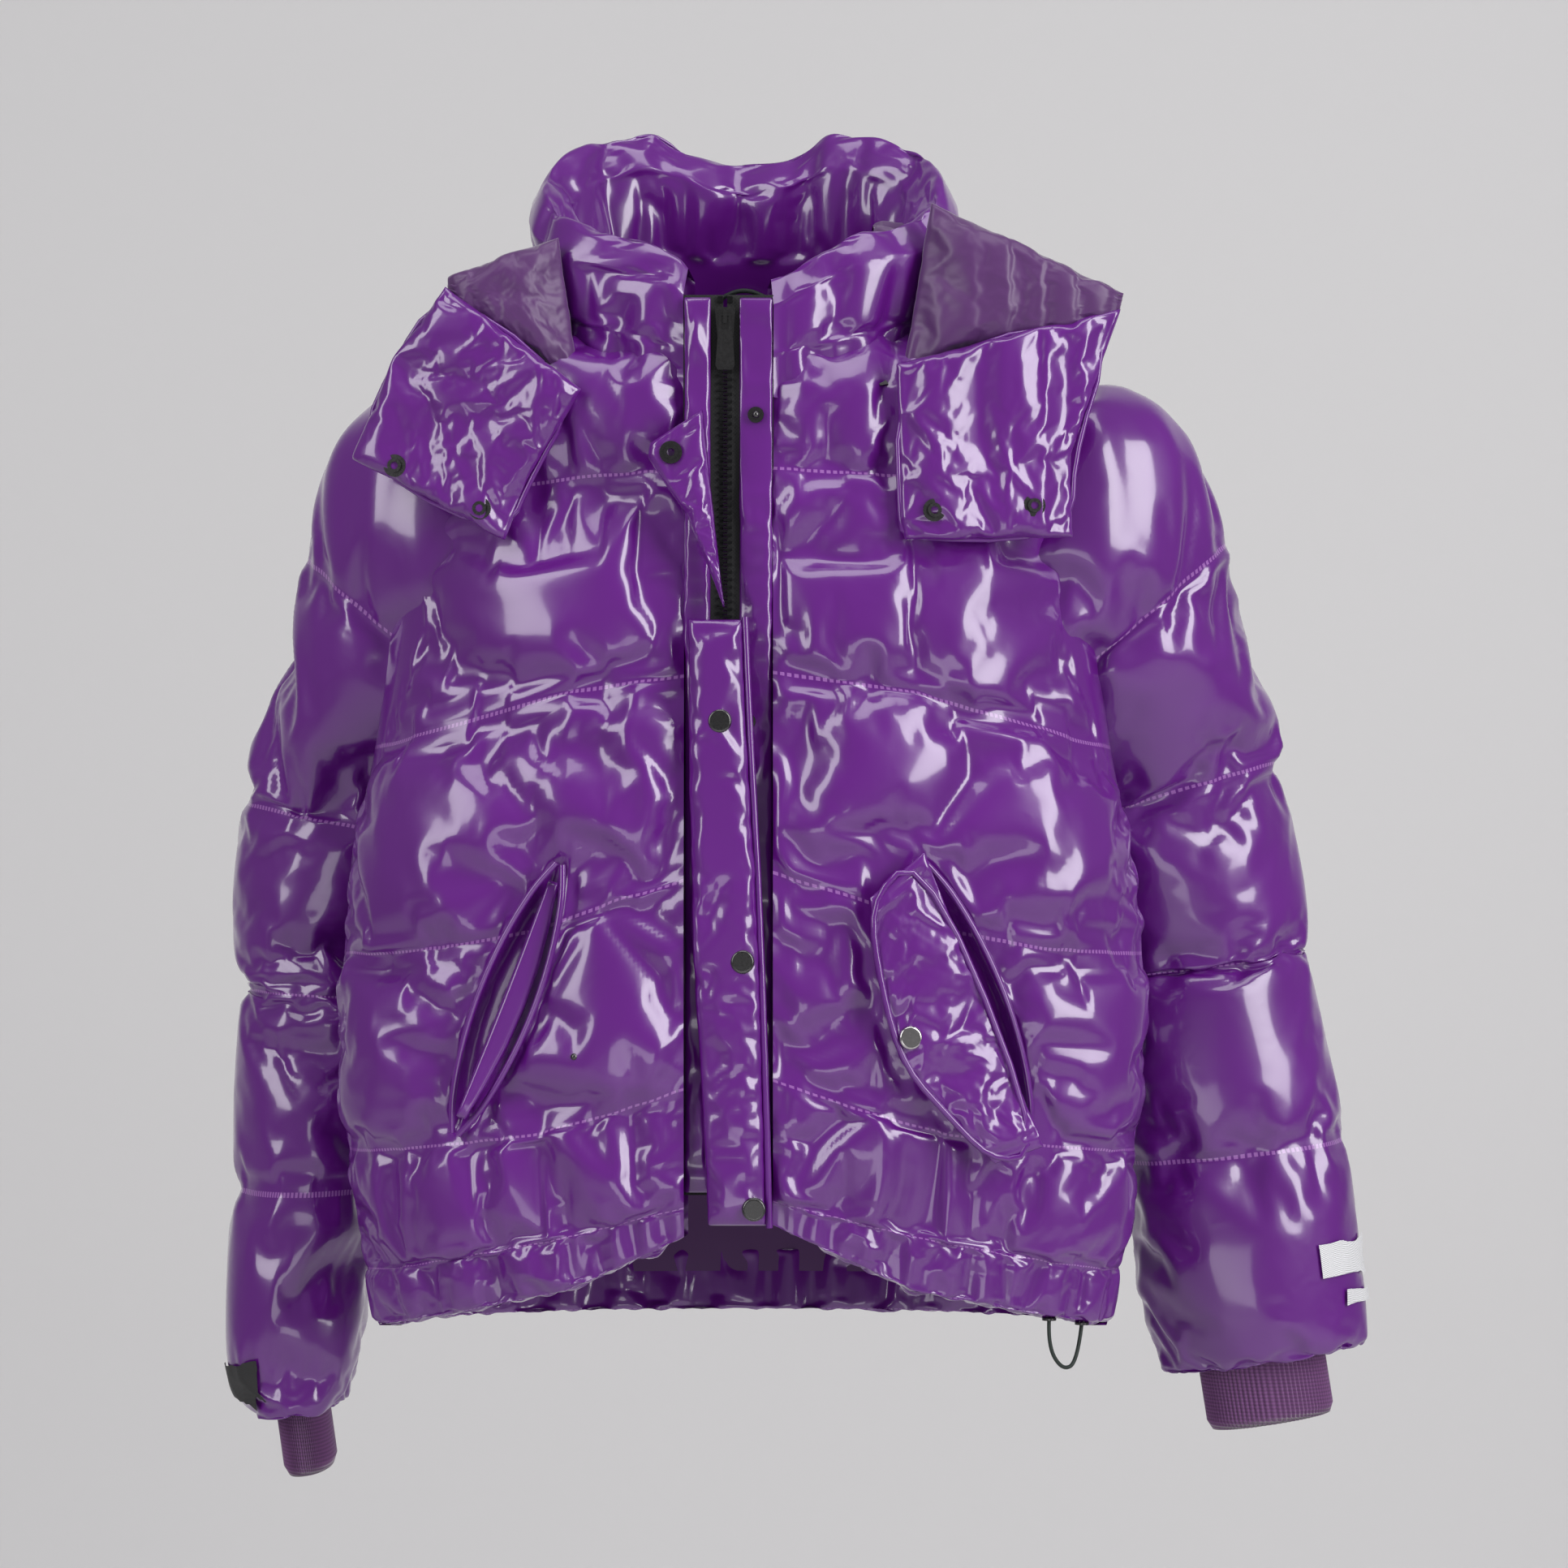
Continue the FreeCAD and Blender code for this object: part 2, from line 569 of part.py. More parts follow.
# ---- pockets ------------------------------------------------------------------------------
def build_pockets():
    for side, name in ((1, "left"), (-1, "right")):
        bag = pocket_block(side).cut(pocket_block(side, -POCKET_WALL))
        mouth = prism_y(pocket_slot(side, -1.8), -230, torso_y(side * 140, -464, PAD) + 22.0)
        bag = largest(bag.cut(mouth))
        save("pocket_bag_" + name, bag)
        welt = prism_y(pocket_slot(side, -GAP), -198.0, -168.0)
        welt = welt.cut(prism_y(pocket_slot(side, -3.6), -230, -120))
        outer = torso_solid(-3.0)
        welt = largest(welt.common(outer).cut(bag))
        save("pocket_welt_" + name, welt)
    build_left_flap()
    build_right_flap()


def build_left_flap():
    """Closed flap over the left pocket mouth, sewn along its outer slanted edge."""
    outline = [(78.0, -400.0), (113.0, -371.0), (190.0, -556.0), (158.0, -566.0), (126.0, -533.0),
               (98.0, -502.0), (84.0, -448.0)]
    x, z = FLAP_SNAP
    socket = cylinder(3.3, 2.2, V(x, 0.0, z), V(0, -1, 0))
    flap = prism_y(outline, -6.0, 0.0).cut(socket)
    cap = snap_cap(V(x, -6.1, z), V(0, -1, 0))
    stud = snap_stud(V(x, 4.2, z), V(0, -1, 0))
    at = FreeCAD.Placement(FLAP_AT, FreeCAD.Rotation(V(0, 0, 1), FLAP_TURN))
    away = FreeCAD.Placement(V(-FLAP_AT.x, 0, 0), FreeCAD.Rotation())
    for name, shape in (("pocket_flap_left", flap), ("pocket_flap_left_cap", cap),
                        ("pocket_stud_left", stud)):
        shape.Placement = at.multiply(away)
        save(name, shape)


def build_right_flap():
    """Flap of the right pocket, tucked down inside the open mouth, and the open stud."""
    top = V(-POCKET_TOP.x, 0, POCKET_TOP.z)
    end = V(-POCKET_END.x, 0, POCKET_END.z)
    along = (end - top).normalize()
    across = V(along.z, 0, -along.x).normalize()
    if across.x < 0:
        across = across * -1.0
    centre = (top + end) * 0.5 + across * -4.0
    corners = (centre + along * -70 + across * -3, centre + along * 70 + across * -3,
               centre + along * 66 + across * 2.0, centre + along * -66 + across * 2.0)
    flap = prism_y([(p.x, p.z) for p in corners], -196.0, -168.0)
    save("pocket_flap_right", flap)
    x, z = -102.5, -498.5
    face = torso_y(x, z) - 4.2
    save("pocket_stud_right", snap_stud(V(x, face, z), V(0, -1, 0)))


# ---- sleeves ------------------------------------------------------------------------------
def build_sleeves():
    """Upper and lower sleeve tubes, split at the elbow, and the ribbed cuffs."""
    keep_out = torso_solid(-0.6)
    for name, side, upper_rows, fore_rows, elbow in (
            ("left", 1, UPPER_LEFT, FORE_LEFT, ELBOW_LEFT_Z),
            ("right", -1, UPPER_RIGHT, FORE_RIGHT, ELBOW_RIGHT_Z)):
        rows = upper_rows + fore_rows
        whole = sleeve_solid(rows, 0.0).cut(sleeve_solid(rows, SLEEVE_PAD))
        above = box(0, 460, -200, 200, elbow + 0.5, 20)
        below = box(0, 460, -200, 200, -900, elbow - 0.5)
        upper = largest(whole.common(above).cut(keep_out))
        save("upper_sleeve_" + name, on_side(upper, side))
        save("lower_sleeve_" + name, on_side(largest(whole.common(below)), side))
        save("cuff_" + name, on_side(cuff(fore_rows[-1], *CUFF_HALF[name]), side))


def cuff(last_row, half, deep):
    """Ribbed cuff tube, tapering out of the sleeve's end."""
    x, y, z, tilt = last_row[0], last_row[1], last_row[2], math.radians(last_row[5])
    across = V(math.cos(tilt), 0, math.sin(tilt))
    drop = V(math.sin(tilt), 0, -math.cos(tilt))
    rings = []
    holes = []
    for step, share in ((-CUFF_HIDDEN, 1.0), (CUFF_SHOWN, 0.94)):
        centre = V(x, y, z) + drop * step
        a = half * share
        b = deep * share
        rings.append(ring(centre, across, V(0, 1, 0), a, b))
        holes.append(ring(centre, across, V(0, 1, 0), a - CUFF_WALL, b - CUFF_WALL))
    return loft(rings).cut(loft(holes))


def build_sleeve_marks():
    """Plain badge on the right sleeve and two plain bars on the left sleeve."""
    rows = UPPER_RIGHT[-1:] + FORE_RIGHT
    right = sleeve_solid(rows, -1.6).cut(sleeve_solid(rows, -0.4))
    badge = [(350, -690), (326, -700), (311, -722), (313, -738), (350, -738)]
    save("sleeve_badge", on_side(largest(right.common(prism_y(badge, -25.0, 34.0))), -1))
    rows = UPPER_LEFT[-1:] + FORE_LEFT
    left = sleeve_solid(rows, -1.2).cut(sleeve_solid(rows, -0.4))
    bars = []
    for z0, z1, x0 in ((-645.0, -618.0, 376.0), (-672.0, -656.0, 391.0)):
        bars.append(largest(left.common(box(x0, 440.0, -60.0, 40.0, z0, z1))))
    save("sleeve_bars", Part.makeCompound(bars))


# ---- hood ---------------------------------------------------------------------------------
def build_hood():
    wings = {
        "left": [(94, -70), (127, -60), (180, -46), (238, -33), (240, -46), (206, -126), (209, -166),
                 (195, -178), (114, -180), (97, -166)],
        "right": [(-97, -86), (-130, -58), (-158, -40), (-184, -20), (-214, -37), (-216, -65), (-229, -95),
                  (-244, -128), (-209, -156), (-164, -176), (-146, -180), (-130, -141)],
    }
    sockets = {"left": ((117, -161.5), (180, -158)), "right": ((-214, -133), (-160, -160))}
    for name, side in (("left", 1), ("right", -1)):
        hinge_x = side * WING_X
        at = FreeCAD.Placement(V(hinge_x, WING_Y, 0), FreeCAD.Rotation(V(0, 0, 1), side * WING_TURN))
        away = FreeCAD.Placement(V(-hinge_x, 0, 0), FreeCAD.Rotation())
        slab = prism_y(wings[name], -WING_THICK, 0.0)
        slab.Placement = at.multiply(away)
        save("hood_wing_" + name, slab)
        rings = [snap_socket(V(x, -WING_THICK - 0.1, z), V(0, -1, 0), 7.0) for x, z in sockets[name]]
        group = Part.makeCompound(rings)
        group.Placement = at.multiply(away)
        save("hood_sockets_" + name, group)
    build_hood_sides()
    build_crown()
    build_hood_zip()


def build_hood_sides():
    """Padded sides of the folded hood, resting on the shoulders beside the collar."""
    column = collar_solid(-8.0, -0.8, 1.4)
    body = torso_solid(-1.0)
    tops = {"left": (30.0, 3.0), "right": (8.0, -16.0)}
    for name, side in (("left", 1), ("right", -1)):
        inner_top, outer_top = tops[name]
        block = prism_y([(side * 90, -70), (side * 90, inner_top + 14), (side * 128, inner_top),
                         (side * 186, outer_top), (side * 186, -70)], -138.0, 38.0)
        save("hood_side_" + name, largest(block.cut(column).cut(body)))


CROWN = (
    (-6.0, 138.0, 78.0, 34.0),
    (-120.0, 134.0, 80.0, 36.0),
    (-205.0, 104.0, 76.0, 30.0),
    (-252.0, 60.0, 70.0, 20.0),
)


def crown_solid(inset, lift):
    wires = []
    for z, half, middle, deep in CROWN:
        wires.append(ring(V(0, middle, z + lift), V(1, 0, 0), V(0, 1, 0), half - inset, deep - inset))
    return loft(wires)


def build_crown():
    """Padded bag of the hood behind the neck, open at the top, and its lining."""
    save("hood_crown", largest(crown_solid(0.0, 0.0).cut(crown_solid(CROWN_PAD, 12.0))))
    skin = crown_solid(CROWN_PAD + GAP, 12.0).cut(crown_solid(CROWN_PAD + GAP + LINING, 14.0))
    save("hood_lining", largest(skin.common(box(-200, 200, 0, 200, -300, -6.0))))


def build_hood_zip():
    """Zip that joins the hood to the collar: tape, teeth, slider and pull."""
    away_from_front = box(-260, 260, -154, 120, -200, 120)
    tape = collar_solid(-1.6, 0.10, 0.24).cut(collar_solid(-GAP, 0.0, 0.4))
    save("hood_zip_tape", largest(tape.common(away_from_front)))
    teeth = collar_solid(-3.8, 0.145, 0.195).cut(collar_solid(-2.0, 0.0, 0.4))
    save("hood_zip_teeth", largest(teeth.common(away_from_front)))
    at = FreeCAD.Placement(HOOD_SLIDER, HOOD_ZIP_TURN)
    body = Part.makeBox(11.0, 3.0, 8.0, V(-5.5, -3.8, -4.0))
    body.Placement = at
    save("hood_zip_slider", body)
    lean = FreeCAD.Placement(V(0, -4.7, 0), FreeCAD.Rotation(V(1, 0, 0), -PULL_LEAN))
    pull = Part.makeBox(6.0, 1.0, 14.0, V(-3.0, -0.5, -14.0))
    pull.Placement = at.multiply(lean)
    save("hood_zip_pull", pull)


os.makedirs("parts", exist_ok=True)
build_body()
build_hem()
build_cord_loop()
build_collar()
build_hang_loop()
build_zip()
build_slider()
build_facings()
build_storm_flap()
build_pockets()
build_sleeves()
build_sleeve_marks()
build_hood()
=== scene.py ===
import math

import bmesh
import bpy
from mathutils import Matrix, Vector, noise


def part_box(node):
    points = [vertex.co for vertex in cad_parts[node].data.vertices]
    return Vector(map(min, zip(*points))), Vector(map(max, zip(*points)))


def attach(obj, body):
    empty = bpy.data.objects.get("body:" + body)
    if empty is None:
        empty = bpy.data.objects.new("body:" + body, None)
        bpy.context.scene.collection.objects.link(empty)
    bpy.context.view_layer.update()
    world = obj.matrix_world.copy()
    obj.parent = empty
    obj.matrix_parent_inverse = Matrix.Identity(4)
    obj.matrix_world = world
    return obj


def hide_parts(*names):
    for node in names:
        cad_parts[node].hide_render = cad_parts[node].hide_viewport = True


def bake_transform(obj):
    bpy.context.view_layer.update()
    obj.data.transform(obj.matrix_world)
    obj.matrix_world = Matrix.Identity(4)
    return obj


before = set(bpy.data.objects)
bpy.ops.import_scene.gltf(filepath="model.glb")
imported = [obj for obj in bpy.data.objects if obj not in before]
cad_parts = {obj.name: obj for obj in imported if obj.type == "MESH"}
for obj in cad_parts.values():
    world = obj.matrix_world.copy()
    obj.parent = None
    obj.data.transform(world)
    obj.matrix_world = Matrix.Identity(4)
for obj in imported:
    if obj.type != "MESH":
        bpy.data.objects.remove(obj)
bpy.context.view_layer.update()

bl_info = {
    "name": "Quilted Ski Jacket",
    "version": (1, 0, 0),
    "blender": (4, 5, 0),
    "location": "3D View > Sidebar > Jacket",
    "description": "Builds the fabric, trims and fittings of a glossy quilted ski jacket",
    "category": "Add Mesh",
}

POWER = 2.2                 # roundness of the body, collar and sleeve sections
FORWARD = 0.010             # the tables below are drawn this far behind the hanging loop


# ---- sizes and colours ---------------------------------------------------------------------
class JacketShell(bpy.types.PropertyGroup):
    color: bpy.props.FloatVectorProperty(
        name="Shell colour", description="Colour of the coated shell fabric",
        subtype="COLOR", size=3, min=0.0, max=1.0, default=(0.112, 0.006, 0.200))
    puff: bpy.props.FloatProperty(
        name="Puff", description="Air pressure that blows the quilted chambers up",
        default=6.0, min=0.0, max=40.0)
    slack: bpy.props.FloatProperty(
        name="Slack", description="Share of extra fabric that gathers at the seams",
        subtype="FACTOR", default=0.10, min=0.0, max=0.4)
    satin: bpy.props.FloatVectorProperty(
        name="Lining colour", description="Colour of the satin lining",
        subtype="COLOR", size=3, min=0.0, max=1.0, default=(0.088, 0.024, 0.125))
    rib: bpy.props.FloatVectorProperty(
        name="Rib colour", description="Colour of the knitted cuffs",
        subtype="COLOR", size=3, min=0.0, max=1.0, default=(0.15, 0.05, 0.17))


class JacketTrim(bpy.types.PropertyGroup):
    piping: bpy.props.FloatProperty(
        name="Piping", description="Radius of the piped edges",
        subtype="DISTANCE", unit="LENGTH", default=0.0021, min=0.0005, max=0.01)
    stitch: bpy.props.FloatProperty(
        name="Stitch", description="Length of one stitch",
        subtype="DISTANCE", unit="LENGTH", default=0.0034, min=0.001, max=0.01)
    ribs: bpy.props.IntProperty(
        name="Ribs", description="Number of knitted ribs round a cuff",
        default=84, min=12, max=200)
    cord: bpy.props.FloatProperty(
        name="Cord", description="Diameter of the elastic hem cord",
        subtype="DISTANCE", unit="LENGTH", default=0.0025, min=0.001, max=0.01)


# ---- shapes of the garment -----------------------------------------------------------------
# body sections: height, half width, front y, back y
BODY_ROWS = (
    (-0.700, 0.238, -0.186, 0.018),
    (-0.600, 0.252, -0.194, 0.028),
    (-0.500, 0.262, -0.200, 0.034),
    (-0.400, 0.258, -0.200, 0.035),
    (-0.300, 0.240, -0.192, 0.033),
    (-0.200, 0.230, -0.184, 0.031),
    (-0.120, 0.226, -0.180, 0.030),
    (-0.085, 0.220, -0.177, 0.029),
    (-0.066, 0.206, -0.172, 0.028),
    (-0.050, 0.170, -0.162, 0.027),
    (-0.034, 0.126, -0.148, 0.026),
)
# collar sections: y, z, half width, half depth and tilt in degrees
COLLAR_BASE = (-0.076, -0.0515, 0.122, 0.108, 19.2)
COLLAR_TOP = (-0.097, 0.030, 0.128, 0.099, 33.0)
# sleeves: distance from the middle, y, z, half width, half depth, tilt in degrees
SLEEVE_LEFT = (
    (0.180, -0.076, -0.168, 0.104, 0.060, 82.0),
    (0.226, -0.070, -0.188, 0.104, 0.062, 62.0),
    (0.254, -0.036, -0.246, 0.088, 0.062, 36.0),
    (0.284, 0.008, -0.335, 0.078, 0.055, 16.0),
    (0.300, 0.022, -0.420, 0.077, 0.052, 9.0),
    (0.308, 0.022, -0.480, 0.077, 0.052, 7.0),
    (0.326, 0.022, -0.570, 0.077, 0.051, 6.0),
    (0.338, 0.022, -0.660, 0.078, 0.049, 7.0),
    (0.347, 0.022, -0.714, 0.071, 0.043, 9.0),
)
SLEEVE_RIGHT = (
    (0.152, -0.076, -0.168, 0.098, 0.060, 82.0),
    (0.204, -0.070, -0.188, 0.102, 0.062, 62.0),
    (0.228, -0.036, -0.250, 0.080, 0.062, 36.0),
    (0.266, 0.010, -0.335, 0.068, 0.062, 14.0),
    (0.284, 0.024, -0.420, 0.054, 0.063, 6.0),
    (0.285, 0.024, -0.480, 0.050, 0.065, 3.0),
    (0.290, 0.024, -0.570, 0.048, 0.067, 0.0),
    (0.298, 0.024, -0.690, 0.044, 0.067, -3.0),
    (0.297, 0.024, -0.746, 0.034, 0.060, -8.0),
)
# front seams: distance from the middle against height, from the chest down to the hem seam
FRONT_SEAMS = (
    ((0.0, -0.133), (0.100, -0.139), (0.270, -0.160)),
    ((0.0, -0.259), (0.110, -0.274), (0.215, -0.303), (0.270, -0.313)),
    ((0.0, -0.379), (0.075, -0.402), (0.130, -0.422), (0.190, -0.433), (0.270, -0.440)),
    ((0.0, -0.507), (0.075, -0.533), (0.130, -0.549), (0.190, -0.557), (0.270, -0.567)),
    ((0.0, -0.584), (0.110, -0.612), (0.262, -0.645)),
)
HEM_EDGE = ((0.0, -0.594), (0.110, -0.645), (0.262, -0.680))
BACK_SEAMS = (-0.160, -0.313, -0.440, -0.567, -0.645)
FRONT_LEFT_EDGE = 0.020
FRONT_RIGHT_EDGE = -0.036
SIDES = (("left", 1), ("right", -1))
CORE_Y = -0.07              # middle line of the body
CHEST_Y = -0.13             # the chest lies in front of this
SIDE_ANGLE = 0.02           # where the fronts and the back meet, round the body section
NECK_Z = -0.040             # where the fronts and the back end below the collar
HEM_Z = -0.680              # lower edge of the back
# how far out each seam lies from the body section, from the neck to the turned-in hem
SEAM_OUTS = [-0.004] * 6 + [-0.005, -0.020, -0.0205]
SEAM_SPAN = 0.12            # usual distance between two seams
# satin lining: how far out from the body section, its top and its lower edge at the back
LINING_OUT = -0.0212
LINING_TOP = -0.045
LINING_HEM = -0.655
# armholes: lowest and highest point, distance from the middle, and the slant below a depth
ARMHOLE_LOW = -0.36
ARMHOLE_HIGH = -0.045
ARMHOLE_X = 0.200
ARMHOLE_BEND = 0.23
ARMHOLE_SLANT = 0.38
# left pocket mouth: upper and lower end, step outwards across it, half width and depth
POCKET_TOP = (0.112, -0.380)
POCKET_END = (0.178, -0.548)
POCKET_ACROSS = (0.93, 0.366)
POCKET_HALF = 0.016
POCKET_DEPTH = 0.012
POCKET_BAG_HALF = 0.055     # half width of a pocket's bag
# hood wings: hinge line, lean in degrees, middle y and thickness
WING_AXIS = (0.094, -0.176)
WING_LEAN = 8.3
WING_Y = -0.1845
WING_THICK = 0.017
# hood crown: top, height and middle line
CROWN_TOP = -0.006
CROWN_DEEP = 0.246
CROWN_Y = 0.086
# collar wall: share of its height and how far out, from the outer base over the top roll and
# down the inside
COLLAR_TRACK = ((-0.08, -0.002), (0.38, 0.000), (0.84, 0.000), (1.02, -0.010), (0.86, -0.024),
                (0.40, -0.024), (-0.30, -0.024))
# cuffs: name, side, sections, half width and half depth of the knit
CUFFS = (("left", 1, SLEEVE_LEFT, 0.042, 0.024), ("right", -1, SLEEVE_RIGHT, 0.0165, 0.040))
# how far the knit reaches below the sleeve, and above its end outside and inside
CUFF_BELOW = 0.044
CUFF_OUTER = 0.030
CUFF_INNER = 0.026
# control points of the free loop of the hem cord
CORD_ROUTE = ((0.19343, -0.14318, -0.66721), (0.19233, -0.14604, -0.68396),
              (0.20173, -0.14167, -0.70012), (0.21200, -0.13261, -0.69649),
              (0.21528, -0.12604, -0.67224))
# sleeves: name, side, sections, seam heights of the upper part and of the lower part
SLEEVE_SEAMS = (
    ("left", 1, SLEEVE_LEFT, (-0.168, -0.232, -0.335, -0.452), (-0.452, -0.576, -0.714)),
    ("right", -1, SLEEVE_RIGHT, (-0.168, -0.237, -0.355, -0.470), (-0.470, -0.600, -0.746)),
)
# sleeve marks: side, sections, first and last angle round the sleeve, and share of its length
MARK_SPOTS = {
    "bar_high": (1, SLEEVE_LEFT, (-62, -8), (0.845, 0.882)),
    "bar_low": (1, SLEEVE_LEFT, (-46, -8), (0.905, 0.925)),
    "badge_patch": (-1, SLEEVE_RIGHT, (-64, -6), (0.915, 0.985)),
}
# hood wings: inner and outer edge, from top to bottom
WINGS = (
    ("left", 1, ((0.094, -0.070), (0.097, -0.166), (0.100, -0.180)),
     ((0.238, -0.033), (0.206, -0.126), (0.207, -0.178))),
    ("right", -1, ((-0.097, -0.086), (-0.130, -0.141), (-0.146, -0.180)),
     ((-0.184, -0.020), (-0.216, -0.065), (-0.244, -0.128))),
)
# satin facings of the hood behind its wings: inner and outer edge
FACINGS = (
    ("left", ((0.118, 0.034), (0.100, -0.072)), ((0.240, -0.024), (0.236, -0.040))),
    ("right", ((-0.114, 0.012), (-0.100, -0.084)), ((-0.184, -0.014), (-0.184, -0.030))),
)
# straps at the zip: name, body, left edge, right edge, middle y, thickness, CAD node and
# grid columns
FLAPS = (
    ("storm_strip", "storm_flap",
     ((-0.033, -0.228), (-0.033, -0.330), (-0.030, -0.440), (-0.021, -0.604)),
     ((0.002, -0.228), (0.005, -0.300), (0.013, -0.440), (0.017, -0.604)), -0.197, 0.012,
     "storm_flap", 14),
    ("storm_corner", "storm_flap_corner",
     ((-0.0570, -0.121), (-0.058, -0.130), (-0.034, -0.165), (-0.011, -0.222)),
     ((-0.023, -0.099), (-0.010, -0.222)), -0.197, 0.012, "storm_flap_corner", 14),
    ("facing_right", "jacket", ((-0.036, -0.027), (-0.036, -0.586)),
     ((-0.0182, -0.027), (-0.0182, -0.586)), -0.181, 0.0081, "zip_facing_right", 10),
    ("facing_left", "jacket", ((-0.0018, -0.027), (-0.0018, -0.586)),
     ((0.020, -0.027), (0.020, -0.586)), -0.1795, 0.0051, "zip_facing_left", 10),
)
# left pocket flap: free edge and hinge edge, as (x, z) points from top to bottom
POCKET_FLAP = (
    ((0.078, -0.400), (0.084, -0.448), (0.098, -0.502), (0.126, -0.533), (0.158, -0.566)),
    ((0.113, -0.371), (0.190, -0.556)),
)
# stations along the right pocket's tucked flap, as shares of its slit
FLAP_STEPS = (0.06, 0.20, 0.35, 0.50, 0.65, 0.80, 0.94)
# hood crown: height, half width, middle y, half depth
CROWN_ROWS = (
    (-0.252, 0.060, 0.070, 0.020),
    (-0.205, 0.104, 0.076, 0.030),
    (-0.120, 0.134, 0.080, 0.036),
    (-0.006, 0.138, 0.078, 0.034),
)
# finish of each small fitting that keeps its CAD shape
FITTINGS = {
    "gunmetal": ("zip_slider", "zip_pull", "hem_eyelets", "front_studs",
                 "storm_flap_corner_socket", "storm_flap_sockets", "hood_sockets_left",
                 "hood_sockets_right", "pocket_stud_left", "pocket_stud_right",
                 "hood_zip_slider", "hood_zip_pull", "storm_flap_caps"),
    "bright": ("pocket_flap_left_cap",),
    "teeth": ("zip_teeth_left", "zip_teeth_right", "zip_top_stops", "zip_retainer",
              "hood_zip_teeth"),
    "tape": ("zip_tape_left", "zip_tape_right", "hood_zip_tape"),
    "cord": ("hang_loop", "hem_drawcord"),
}
# studio lights: name, place, width, height and watts
LAMPS = (
    ("Left box", (-2.1, -1.9, 0.8), 1.0, 2.6, 40),
    ("Right box", (2.2, -1.8, 0.6), 1.1, 2.6, 70),
    ("Top box", (0.2, -1.0, 2.2), 2.0, 1.2, 24),
    ("Low fill", (0.0, -2.6, -1.3), 1.2, 0.6, 5),
)
CAMERA_SPOT = (0.0265, -2.59, -0.3307)
CAMERA_LENS = 89.6
LIGHT_AIM = Vector((0, -0.1, -0.35))


def mix(a, b, k):
    """Value at a share of the way from a to b."""
    return a + (b - a) * k


def between(rows, value):
    """Row of numbers at a value of the first column, on a smooth curve through the rows."""
    rows = sorted(rows)
    value = min(max(value, rows[0][0]), rows[-1][0])
    i = 0
    while i < len(rows) - 2 and value > rows[i + 1][0]:
        i += 1
    return blend_rows(rows, i, (value - rows[i][0]) / (rows[i + 1][0] - rows[i][0]))[1:]


def blend_rows(rows, i, k):
    """Catmull-Rom mix of the rows round span i."""
    p0 = rows[max(i - 1, 0)]
    p1 = rows[i]
    p2 = rows[i + 1]
    p3 = rows[min(i + 2, len(rows) - 1)]
    out = []
    for a, b, c, d in zip(p0, p1, p2, p3):
        out.append(0.5 * (2 * b + (c - a) * k + (2 * a - 5 * b + 4 * c - d) * k * k
                          + (3 * b - a - 3 * c + d) * k ** 3))
    return out


def along(rows, share):
    """Smooth row at a share of the way through a list of rows."""
    place = min(max(share, 0.0), 1.0) * (len(rows) - 1)
    i = min(int(place), len(rows) - 2)
    return blend_rows(rows, i, place - i)


def line(points, x):
    """Height of a seam at a distance from the middle."""
    x = abs(x)
    for (x0, z0), (x1, z1) in zip(points, points[1:]):
        if x <= x1:
            return z0 + (z1 - z0) * (x - x0) / (x1 - x0)
    return points[-1][1]


def rounded(angle):
    """Unit point of the rounded section at an angle."""
    c = math.cos(angle)
    s = math.sin(angle)
    return (math.copysign(abs(c) ** (2 / POWER), c), math.copysign(abs(s) ** (2 / POWER), s))


def body_point(angle, z, out=0.0):
    """Point of the body's surface, moved outwards by out. Angle 0 is the left side."""
    half, front, back = between(BODY_ROWS, z)
    cx, cy = rounded(angle)
    middle = (front + back) / 2
    deep = (back - front) / 2
    return Vector((cx * (half + out), middle + cy * (deep + out) + FORWARD, z))


def collar_point(angle, share, out=0.0):
    """Point of the collar's surface at a share of its height."""
    y, z, a, b, tilt = (mix(p, q, share) for p, q in zip(COLLAR_BASE, COLLAR_TOP))
    cx, cy = rounded(angle)
    t = math.radians(tilt)
    v = cy * (b + out)
    return Vector((cx * (a + out), y + v * math.cos(t) + FORWARD, z + v * math.sin(t)))


def sleeve_point(rows, side, angle, share, out=0.0):
    """Point of a sleeve's surface at a share of its length."""
    x, y, z, a, b, tilt = along(rows, share)
    cx, cy = rounded(angle)
    t = math.radians(tilt)
    u = cx * (a + out)
    return Vector((side * (x + u * math.cos(t)), y + cy * (b + out) + FORWARD,
                   z + u * math.sin(t)))


def sleeve_middle(rows, side, share):
    return (sleeve_point(rows, side, 0, share) + sleeve_point(rows, side, math.pi, share)) / 2


# ---- making pieces -------------------------------------------------------------------------
def add_object(name, bm, material, smooth=True):
    """New mesh object at the origin from a bmesh."""
    for face in bm.faces:
        face.smooth = smooth
    mesh = bpy.data.meshes.new(name)
    bm.to_mesh(mesh)
    bm.free()
    piece = bpy.data.objects.new(name, mesh)
    bpy.context.scene.collection.objects.link(piece)
    if material:
        piece.data.materials.append(material)
    return piece


def map_grid(columns, rows, place, closed=False):
    """Grid sheet whose points are placed by a function of u and v, both from 0 to 1."""
    bm = bmesh.new()
    bmesh.ops.create_grid(bm, x_segments=columns, y_segments=rows, size=1.0, calc_uvs=True)
    layer = bm.verts.layers.float_vector.new("cut")
    for vert in bm.verts:
        u = (vert.co.x + 1) / 2
        v = (vert.co.y + 1) / 2
        vert[layer] = (u, v, 0.0)
        vert.co = place(u, v)
    if closed:
        bmesh.ops.remove_doubles(bm, verts=bm.verts, dist=1e-5)
    return bm


def cut_map(piece):
    """The u and v of each point of a grid piece."""
    return [(item.vector[0], item.vector[1]) for item in piece.data.attributes["cut"].data]


